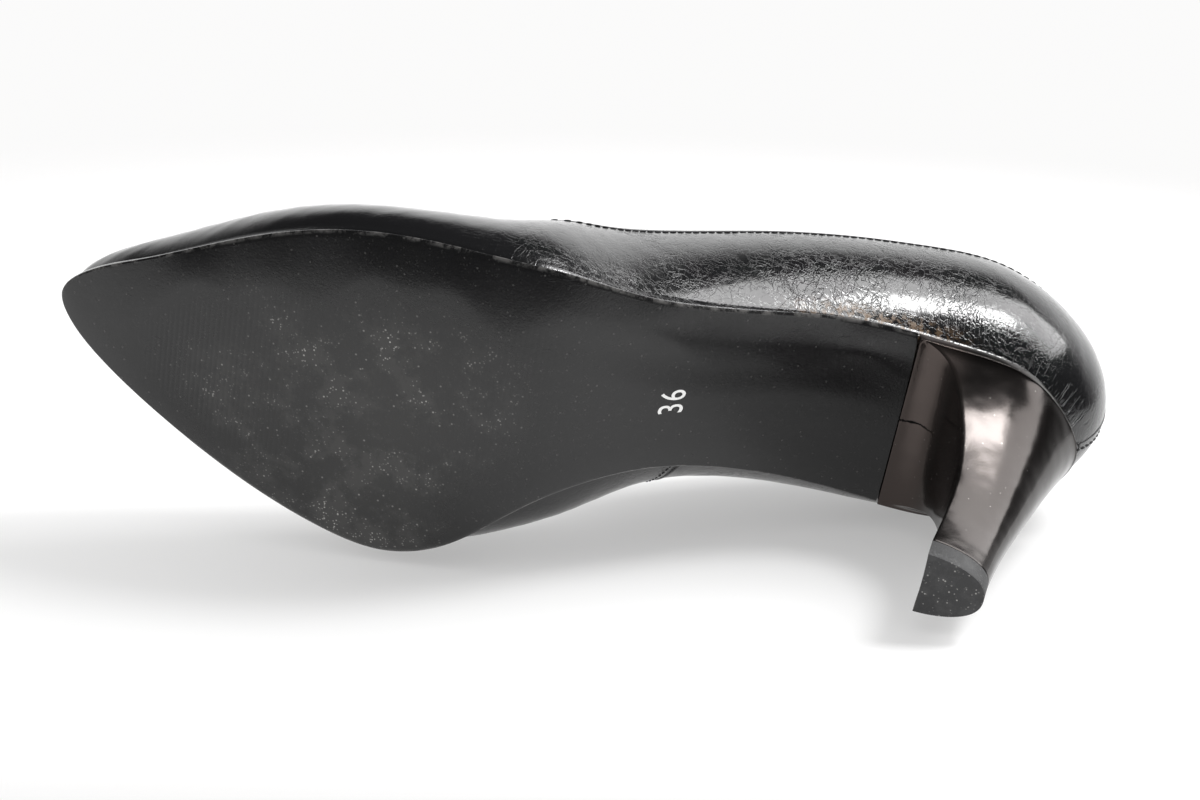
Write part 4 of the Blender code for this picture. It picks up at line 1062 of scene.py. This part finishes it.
def build_sole():
    """The outsole: rows of one closed outline, the shaped underside and then the flat top."""
    backs, outer, inner = outline_sides(0.0)
    at = np.unique(np.clip(sole_stations(), backs[0], BREAST_BACK))[:, None]
    left, right = np.interp(at, backs, outer), np.interp(at, backs, inner)
    across = 56
    t = np.linspace(0, 1, across)[None, :]
    t = 0.6 * t + 0.2 * (1 - np.cos(math.pi * t))
    side = right + (left - right) * t
    under = bottom_point(side, at, sole_level(side, at, left, right))
    top_side = right + (left - right) * np.linspace(1, 0, 8)[None, :]
    top = bottom_point(top_side, at, SOLE_THICK)
    points = np.concatenate([under, top], axis=1)
    rows, count = points.shape[:2]
    ends = [tuple(range(count))[::-1], tuple((rows - 1) * count + k for k in range(count))]
    from_edge = np.concatenate([np.minimum(left - side, side - right), 0 * top_side], axis=1)
    uv = np.stack([from_edge, np.broadcast_to(at, from_edge.shape)], axis=-1).reshape(-1, 2) * MM
    sole = mesh_of("sole", points.reshape(-1, 3), grid_faces(rows, count, True), extra_faces=ends, uv=uv)
    outward(sole)
    sole.data.set_sharp_from_angle(angle=math.radians(28))
    belong(sole, sole_finish(), "black_outsole", "outsole")
    ink = print_finish()
    for name, text, side_at in (("size_number_3", "3", 9.4), ("size_number_6", "6", 12.8)):
        number = digit(name, text, side_at, 133.7, (backs, outer, inner))
        belong(number, ink, "black_outsole")


def outward(piece):
    """Turns every face of a closed mesh outwards."""
    shape = bmesh.new()
    shape.from_mesh(piece.data)
    bmesh.ops.recalc_face_normals(shape, faces=shape.faces)
    shape.to_mesh(piece.data)
    shape.free()


def digit(name, text, side, back, outline):
    """A printed number that reads from below with its top towards the toe. Each of its points
    (u, v, w) goes to underside(side + u, back - v) at the sole's level, w proud of it."""
    sizes = bpy.context.scene.pump_sizes
    data = bpy.data.curves.new(name, "FONT")
    data.body = text
    data.align_x = "CENTER"
    data.align_y = "CENTER"
    data.extrude = 0.03
    data.size = sizes.digit_height / MM / 0.70
    data.resolution_u = 5
    letter = bpy.data.objects.new(name, data)
    bpy.context.scene.collection.objects.link(letter)
    graph = bpy.context.evaluated_depsgraph_get()
    mesh = bpy.data.meshes.new_from_object(letter.evaluated_get(graph))
    bpy.data.objects.remove(letter, do_unlink=True)
    flat = np.empty(len(mesh.vertices) * 3)
    mesh.vertices.foreach_get("co", flat)
    u, v, w = flat.reshape(-1, 3).T
    sides, backs = side + 0.92 * u, back - v
    left, right = (np.interp(backs, outline[0], edge) for edge in outline[1:])
    points = bottom_point(sides, backs, sole_level(sides, backs, left, right) - 0.02 - w)
    mesh.vertices.foreach_set("co", to_frame(points).ravel())
    piece = bpy.data.objects.new(name, mesh)
    bpy.context.scene.collection.objects.link(piece)
    outward(piece)
    return piece


HEEL_FRONT_LINE = open_spline(HEEL_FRONT)
HEEL_BACK_LINE = open_spline(HEEL_BACK)
HEEL_HALF_LINE = open_spline(HEEL_HALF)


def heel_ring(share, turns, front_count):
    """D-shaped ring of the heel at a share of its rise. The half outline is (cos a)^0.8 across and
    (sin a)^1.1 back at the tip, and blends into the sole's own outline at the seat."""
    front_edge = BREAST_BACK + 0.3
    low = LIFT_THICK + 0.15
    start = float(place_of(front_edge, True))
    start_inner = float(place_of(front_edge, False))
    part = turns / (0.5 * math.pi)
    seat = edge_at(start + (1 - start) * part)
    seat_inner = edge_at(start_inner + (-1 - start_inner) * part)
    half_seat = seat[0, 0]
    tip_across, tip_along = np.cos(turns).clip(0)**0.8, np.sin(turns)**1.1
    at = np.array(share)
    tip_back = TIP_FRONT + TIP_DEPTH
    front_top = float(bottom_height(np.array(front_edge)))
    front = HEEL_FRONT_LINE(at) * (front_edge - TIP_FRONT, front_top - low) + (TIP_FRONT, low)
    back = HEEL_BACK_LINE(at) * (SOLE_LENGTH - tip_back, HEEL_RISE - low) + (tip_back, low)
    half = 0.5 * TIP_WIDTH + (half_seat - 0.5 * TIP_WIDTH) * float(HEEL_HALF_LINE(at)[0])
    mix = share**1.5
    sides = []
    for edge, sign in ((seat, 1), (seat_inner, -1)):
        seat_along = (edge[:, 1] - front_edge) / (SOLE_LENGTH - front_edge)
        side = (1 - mix) * tip_across * half * sign + mix * edge[:, 0] * half / half_seat
        sides.append((side, (1 - mix) * tip_along + mix * seat_along))
    (outer, outer_along), (inner, inner_along) = sides
    way = np.linspace(-1, 1, front_count)[1:-1]
    hollow = HEEL_HOLLOW / TIP_DEPTH * (1 - mix)
    middle, reach = 0.5 * (outer[0] + inner[0]), 0.5 * (outer[0] - inner[0])
    side = np.concatenate([outer, inner[-2::-1], middle + reach * way])
    along = np.concatenate([outer_along, inner_along[-2::-1], hollow * (1 - way**2)])
    backs = front[0] + (back[0] - front[0]) * along
    heights = front[1] + (back[1] - front[1]) * along
    heights = heights + share**6 * (bottom_height(backs) - heights)
    return np.stack([side, backs, heights], axis=-1)


def build_heel():
    turns = np.linspace(0, 0.5 * math.pi, 29)
    rings = [heel_ring(share, turns, 20) for share in np.linspace(0, 1, 84)]
    seat = rings[-1]
    rings.append(bottom_point(seat[:, 0], seat[:, 1], SOLE_THICK))
    points = np.array(rings)
    count = points.shape[1]
    rows = len(points)
    ends = [tuple(range(count)), tuple((rows - 1) * count + k for k in range(count - 1, -1, -1))]
    quads = grid_faces(rows, count, True)[:, ::-1]
    heel = mesh_of("heel_body", points.reshape(-1, 3), quads, extra_faces=ends)
    outward(heel)
    soften(heel, 0.35)
    belong(heel, heel_finish(), "gunmetal_coating", "heel_block")

    ring = heel_ring(0.0, turns, 20)
    centre = ring.mean(axis=0)
    levels = (
        (0.0, 0.93), (0.0, 0.985), (0.25, 1.0), (1.6, 1.0), (3.2, 1.0),
        (LIFT_THICK, 1.0), (LIFT_THICK, 0.9),
    )
    layers = []
    for height, scale in levels:
        layer = centre + (ring - centre) * scale
        layer[:, 2] = height
        layers.append(layer)
    points = np.array(layers)
    ends = [tuple(range(count)), tuple((len(levels) - 1) * count + k for k in range(count - 1, -1, -1))]
    quads = grid_faces(len(levels), count, True)[:, ::-1]
    lift = mesh_of("top_lift_rubber", points.reshape(-1, 3), quads, extra_faces=ends)
    outward(lift)
    lift.data.set_sharp_from_angle(angle=math.radians(40))
    belong(lift, lift_finish(), "black_rubber", "top_lift")


def soften(piece, width):
    """Rounds the sharp edges."""
    bevel = piece.modifiers.new("soft_edges", "BEVEL")
    bevel.width = width * MM
    bevel.segments = 3
    bevel.limit_method = "ANGLE"
    bevel.angle_limit = math.radians(38)
    bevel.harden_normals = False


HIDDEN_FINISHES = (
    ("stiffener_sheet", (0.62, 0.58, 0.50), 0.7, 0.0, 700.0, ("toe_puff", "heel_counter")),
    ("backing_cloth", (0.75, 0.73, 0.68), 0.85, 0.0, 2200.0, ("vamp_backer",)),
    ("cork_filler", (0.35, 0.24, 0.14), 0.85, 0.0, 420.0, ("bottom_filler",)),
    ("fibre_board", (0.42, 0.30, 0.19), 0.8, 0.0, 1500.0, ("insole_board", "shank_board")),
    ("bare_steel", (0.55, 0.55, 0.57), 0.3, 1.0, 1200.0,
     ("steel_shank", "shank_rivet_front", "shank_rivet_rear", "heel_dowel", "top_lift_pin", "heel_screw",
      "heel_nail_1", "heel_nail_2", "heel_nail_3", "heel_nail_4")),
)


def build_hidden():
    """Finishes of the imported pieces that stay."""
    for name, shade, rough, metallic, scale, nodes in HIDDEN_FINISHES:
        finish = plain_finish(name, shade, rough, metallic, scale)
        for node in nodes:
            for slot in NODES[node].material_slots:
                slot.material = finish


# ---- stage --------------------------------------------------------------------------------

CAMERA_POINT = (307.04, 201.74, -433.09)
LAMP_DISTANCE = 1.0
SOFTBOX_SIZE = (0.80, 0.55)
SOFTBOX_POWER = 9.0
LAMP_SIZE = (0.22, 0.22)
LAMP_POWER = 4.5
SEEN_SHADE = (0.965, 0.962, 0.96, 1.0)
CAMERA_AXES = (
    (0.1549766, 0.9483702, 0.2767241),
    (0.8238201, -0.2786590, 0.4936290),
    (0.5452547, 0.1514699, -0.8244720),
)
CAMERA_LENS = 78.0
BACKDROP_LIGHT = 1.7
SIDE_LIGHT = 0.04
SOFT_LIGHT = 1.0
LYING_POINTS = ((-32.0, 84.0, 0.0), (-7.4, 202.0, 0.0), (-30.0, 190.0, 86.0))


def lying_axes():
    """Directions of the floor that the shoe lies on: up, right in view, and away from the camera."""
    ball, tip, counter = (np.array(point) for point in LYING_POINTS)
    up = unit(np.cross(tip - ball, counter - ball))
    if up[0] < 0:
        up = -up
    away = -np.array(CAMERA_AXES[2])
    away = unit(away - up * (away @ up))
    return up, unit(np.cross(away, up)), away


def floor_finish():
    """Pale matt floor, faintly lit from within, that fades out around the shoe and isn't seen
    from behind."""
    colours = bpy.context.scene.pump_colours
    r = Recipe("pale_floor", Base_Color=tuple(colours.floor), Roughness=0.6, Specular_IOR_Level=0.2,
               Emission_Color=(1.0, 0.995, 0.99), Emission_Strength=0.34)
    uv = r.uv()
    centred = r.node("ShaderNodeVectorMath", (uv, (0.0, 0.0, 0.0)), output="Value", operation="DISTANCE")
    back_side = r.node("ShaderNodeNewGeometry", output="Backfacing")
    front = r.between(axis(r, uv, "Y"), -0.122, -0.082)
    r.set("Alpha", r.between(centred, 0.46, 0.26) * front * (1 - back_side))
    return r.material


def build_floor():
    up, right, away = lying_axes()
    solids = [node for node in NODES.values() if node.type == "MESH"]
    lowest = min(float((np.array([v.co[:] for v in node.data.vertices]) @ up).min()) for node in solids)
    centre = to_frame((0.0, 110.0, 20.0))
    centre = centre + up * (lowest - 0.0004 - centre @ up)
    radius = 0.5
    turns = np.linspace(0, 2 * math.pi, 73)[:-1]
    reach = np.linspace(0, 1, 13)[1:]
    circle = np.stack([np.cos(turns), np.sin(turns)], -1)
    flat = np.concatenate([[[0.0, 0.0]], (reach[:, None, None] * radius * circle).reshape(-1, 2)])
    points = centre + flat[:, :1] * right + flat[:, 1:] * away
    faces = [(0, 1 + k, 1 + (k + 1) % 72) for k in range(72)]
    rings = grid_faces(12, 72, True) + 1
    mesh = bpy.data.meshes.new("floor")
    mesh.from_pydata(points.tolist(), [], faces + [tuple(int(i) for i in face) for face in rings[:, ::-1]])
    layer = mesh.uv_layers.new(name="UVMap")
    corners = np.empty(len(mesh.loops), np.int32)
    mesh.loops.foreach_get("vertex_index", corners)
    layer.data.foreach_set("uv", flat.astype(np.float32)[corners].ravel())
    floor = bpy.data.objects.new("floor", mesh)
    bpy.context.scene.collection.objects.link(floor)
    shape = bmesh.new()
    shape.from_mesh(mesh)
    wrong = [face for face in shape.faces if face.normal.dot(Vector(up)) < 0]
    bmesh.ops.reverse_faces(shape, faces=wrong)
    shape.to_mesh(mesh)
    shape.free()
    mesh.materials.append(floor_finish())
    return centre, up, right, away


def soft_light(name, centre, direction, size, power):
    """Soft area light that looks at the shoe."""
    data = bpy.data.lights.new(name, "AREA")
    data.shape = "RECTANGLE"
    data.size, data.size_y = size
    data.energy = power
    lamp = bpy.data.objects.new(name, data)
    bpy.context.scene.collection.objects.link(lamp)
    place = Vector(centre + np.asarray(direction) * LAMP_DISTANCE)
    lamp.location = place
    aim = Vector(centre) - place
    lamp.rotation_euler = aim.to_track_quat("-Z", "Y").to_euler()


def build_world():
    """Pale surroundings: even and bright for what is seen directly and for soft light, and for what
    shines, a bright backdrop low behind the shoe and nearly dark elsewhere."""
    world = bpy.data.worlds.new("studio")
    bpy.context.scene.world = world
    world.use_nodes = True
    tree = world.node_tree
    tree.nodes.clear()
    up, _, away = lying_axes()
    direction = tree.nodes.new("ShaderNodeTexCoord").outputs["Generated"]

    def toward(axis_of, low, high):
        along = tree.nodes.new("ShaderNodeVectorMath")
        along.operation = "DOT_PRODUCT"
        along.inputs[1].default_value = tuple(axis_of)
        tree.links.new(direction, along.inputs[0])
        fade = tree.nodes.new("ShaderNodeMapRange")
        fade.interpolation_type = "SMOOTHSTEP"
        fade.inputs["From Min"].default_value = low
        fade.inputs["From Max"].default_value = high
        tree.links.new(along.outputs["Value"], fade.inputs["Value"])
        return fade.outputs["Result"]

    def math_node(operation, first, second):
        made = tree.nodes.new("ShaderNodeMath")
        made.operation = operation
        for socket, value in zip(made.inputs, (first, second)):
            if isinstance(value, float):
                socket.default_value = value
            else:
                tree.links.new(value, socket)
        return made.outputs[0]

    backdrop = math_node("MULTIPLY", toward(up, 0.62, 0.36), toward(away, 0.25, 0.75))
    studio = math_node("ADD", math_node("MULTIPLY", backdrop, BACKDROP_LIGHT), SIDE_LIGHT)
    shades = []
    for strength in (studio, SEEN_SHADE, (1.0, 1.0, 1.0, 1.0)):
        made = tree.nodes.new("ShaderNodeBackground")
        if isinstance(strength, tuple):
            made.inputs["Color"].default_value = strength
        else:
            tree.links.new(strength, made.inputs["Strength"])
        shades.append(made.outputs[0])
    shades[2].node.inputs["Strength"].default_value = SOFT_LIGHT
    path = tree.nodes.new("ShaderNodeLightPath")
    shiny = tree.nodes.new("ShaderNodeMixShader")
    seen = tree.nodes.new("ShaderNodeMixShader")
    tree.links.new(path.outputs["Is Glossy Ray"], shiny.inputs["Fac"])
    tree.links.new(shades[2], shiny.inputs[1])
    tree.links.new(shades[0], shiny.inputs[2])
    tree.links.new(path.outputs["Is Camera Ray"], seen.inputs["Fac"])
    tree.links.new(shiny.outputs[0], seen.inputs[1])
    tree.links.new(shades[1], seen.inputs[2])
    output = tree.nodes.new("ShaderNodeOutputWorld")
    tree.links.new(seen.outputs[0], output.inputs["Surface"])


def build_camera():
    data = bpy.data.cameras.new("view")
    data.lens = CAMERA_LENS
    data.sensor_width = 36.0
    data.clip_end = 10.0
    camera = bpy.data.objects.new("view", data)
    bpy.context.scene.collection.objects.link(camera)
    turn = Matrix(CAMERA_AXES).transposed().to_4x4()
    camera.matrix_world = Matrix.Translation(Vector(to_frame(CAMERA_POINT))) @ turn
    bpy.context.scene.camera = camera


def build_stage():
    build_camera()
    build_world()
    centre, up, right, away = build_floor()
    softbox = unit(up + right * 1.05 + away * 0.35)
    soft_light("overhead_softbox", centre, softbox, SOFTBOX_SIZE, SOFTBOX_POWER)
    lamp = unit(up + right * 0.68 + away * 0.05)
    soft_light("small_softbox", centre, lamp, LAMP_SIZE, LAMP_POWER)
    bpy.context.scene.view_settings.view_transform = "Standard"


# ---- operators ----------------------------------------------------------------------------

class PUMP_OT_upper(bpy.types.Operator):
    """Builds the patent upper: vamp with outer quarter, and inner quarter"""

    bl_idname = "pump.upper"
    bl_label = "Upper"

    def execute(self, context):
        build_upper()
        return {"FINISHED"}


class PUMP_OT_opening(bpy.types.Operator):
    """Builds the folded edge round the opening and its row of stitches"""

    bl_idname = "pump.opening"
    bl_label = "Opening edge"

    def execute(self, context):
        build_opening()
        return {"FINISHED"}


class PUMP_OT_seams(bpy.types.Operator):
    """Builds the side and back seams, their stitches and the loose threads"""

    bl_idname = "pump.seams"
    bl_label = "Seams"

    def execute(self, context):
        build_seams()
        return {"FINISHED"}


class PUMP_OT_linings(bpy.types.Operator):
    """Builds lining, heel grip and sock"""

    bl_idname = "pump.linings"
    bl_label = "Linings"

    def execute(self, context):
        build_linings()
        return {"FINISHED"}


class PUMP_OT_sole(bpy.types.Operator):
    """Builds the sole with its ridges and its size numbers"""

    bl_idname = "pump.sole"
    bl_label = "Sole"

    def execute(self, context):
        build_sole()
        return {"FINISHED"}


class PUMP_OT_heel(bpy.types.Operator):
    """Builds the heel and its rubber top lift"""

    bl_idname = "pump.heel"
    bl_label = "Heel"

    def execute(self, context):
        build_heel()
        return {"FINISHED"}


class PUMP_OT_hidden(bpy.types.Operator):
    """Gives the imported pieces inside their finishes"""

    bl_idname = "pump.hidden"
    bl_label = "Inner pieces"

    def execute(self, context):
        build_hidden()
        return {"FINISHED"}


class PUMP_OT_stage(bpy.types.Operator):
    """Builds camera, lights, surroundings and floor"""

    bl_idname = "pump.stage"
    bl_label = "Stage"

    def execute(self, context):
        build_stage()
        return {"FINISHED"}


OPERATORS = (PUMP_OT_upper, PUMP_OT_opening, PUMP_OT_seams, PUMP_OT_linings, PUMP_OT_sole, PUMP_OT_heel,
             PUMP_OT_hidden, PUMP_OT_stage)


class PUMP_PT_panel(bpy.types.Panel):
    """Lists the steps, sizes and colours"""

    bl_idname = "PUMP_PT_panel"
    bl_label = "High heel pump"
    bl_space_type = "VIEW_3D"
    bl_region_type = "UI"
    bl_category = "Pump"

    def draw(self, context):
        layout = self.layout
        for step in OPERATORS:
            layout.operator(step.bl_idname)
        for group in (context.scene.pump_sizes, context.scene.pump_colours):
            box = layout.box()
            for name in group.__annotations__:
                box.prop(group, name)


CLASSES = (PumpSizes, PumpColours, *OPERATORS, PUMP_PT_panel)


def register():
    for kind in CLASSES:
        bpy.utils.register_class(kind)
    bpy.types.Scene.pump_sizes = PointerProperty(type=PumpSizes)
    bpy.types.Scene.pump_colours = PointerProperty(type=PumpColours)


def unregister():
    del bpy.types.Scene.pump_colours
    del bpy.types.Scene.pump_sizes
    for kind in reversed(CLASSES):
        bpy.utils.unregister_class(kind)


def main():
    register()
    bpy.ops.pump.upper()
    bpy.ops.pump.opening()
    bpy.ops.pump.seams()
    bpy.ops.pump.linings()
    bpy.ops.pump.sole()
    bpy.ops.pump.heel()
    bpy.ops.pump.hidden()
    bpy.ops.pump.stage()


if __name__ == "__main__":
    main()
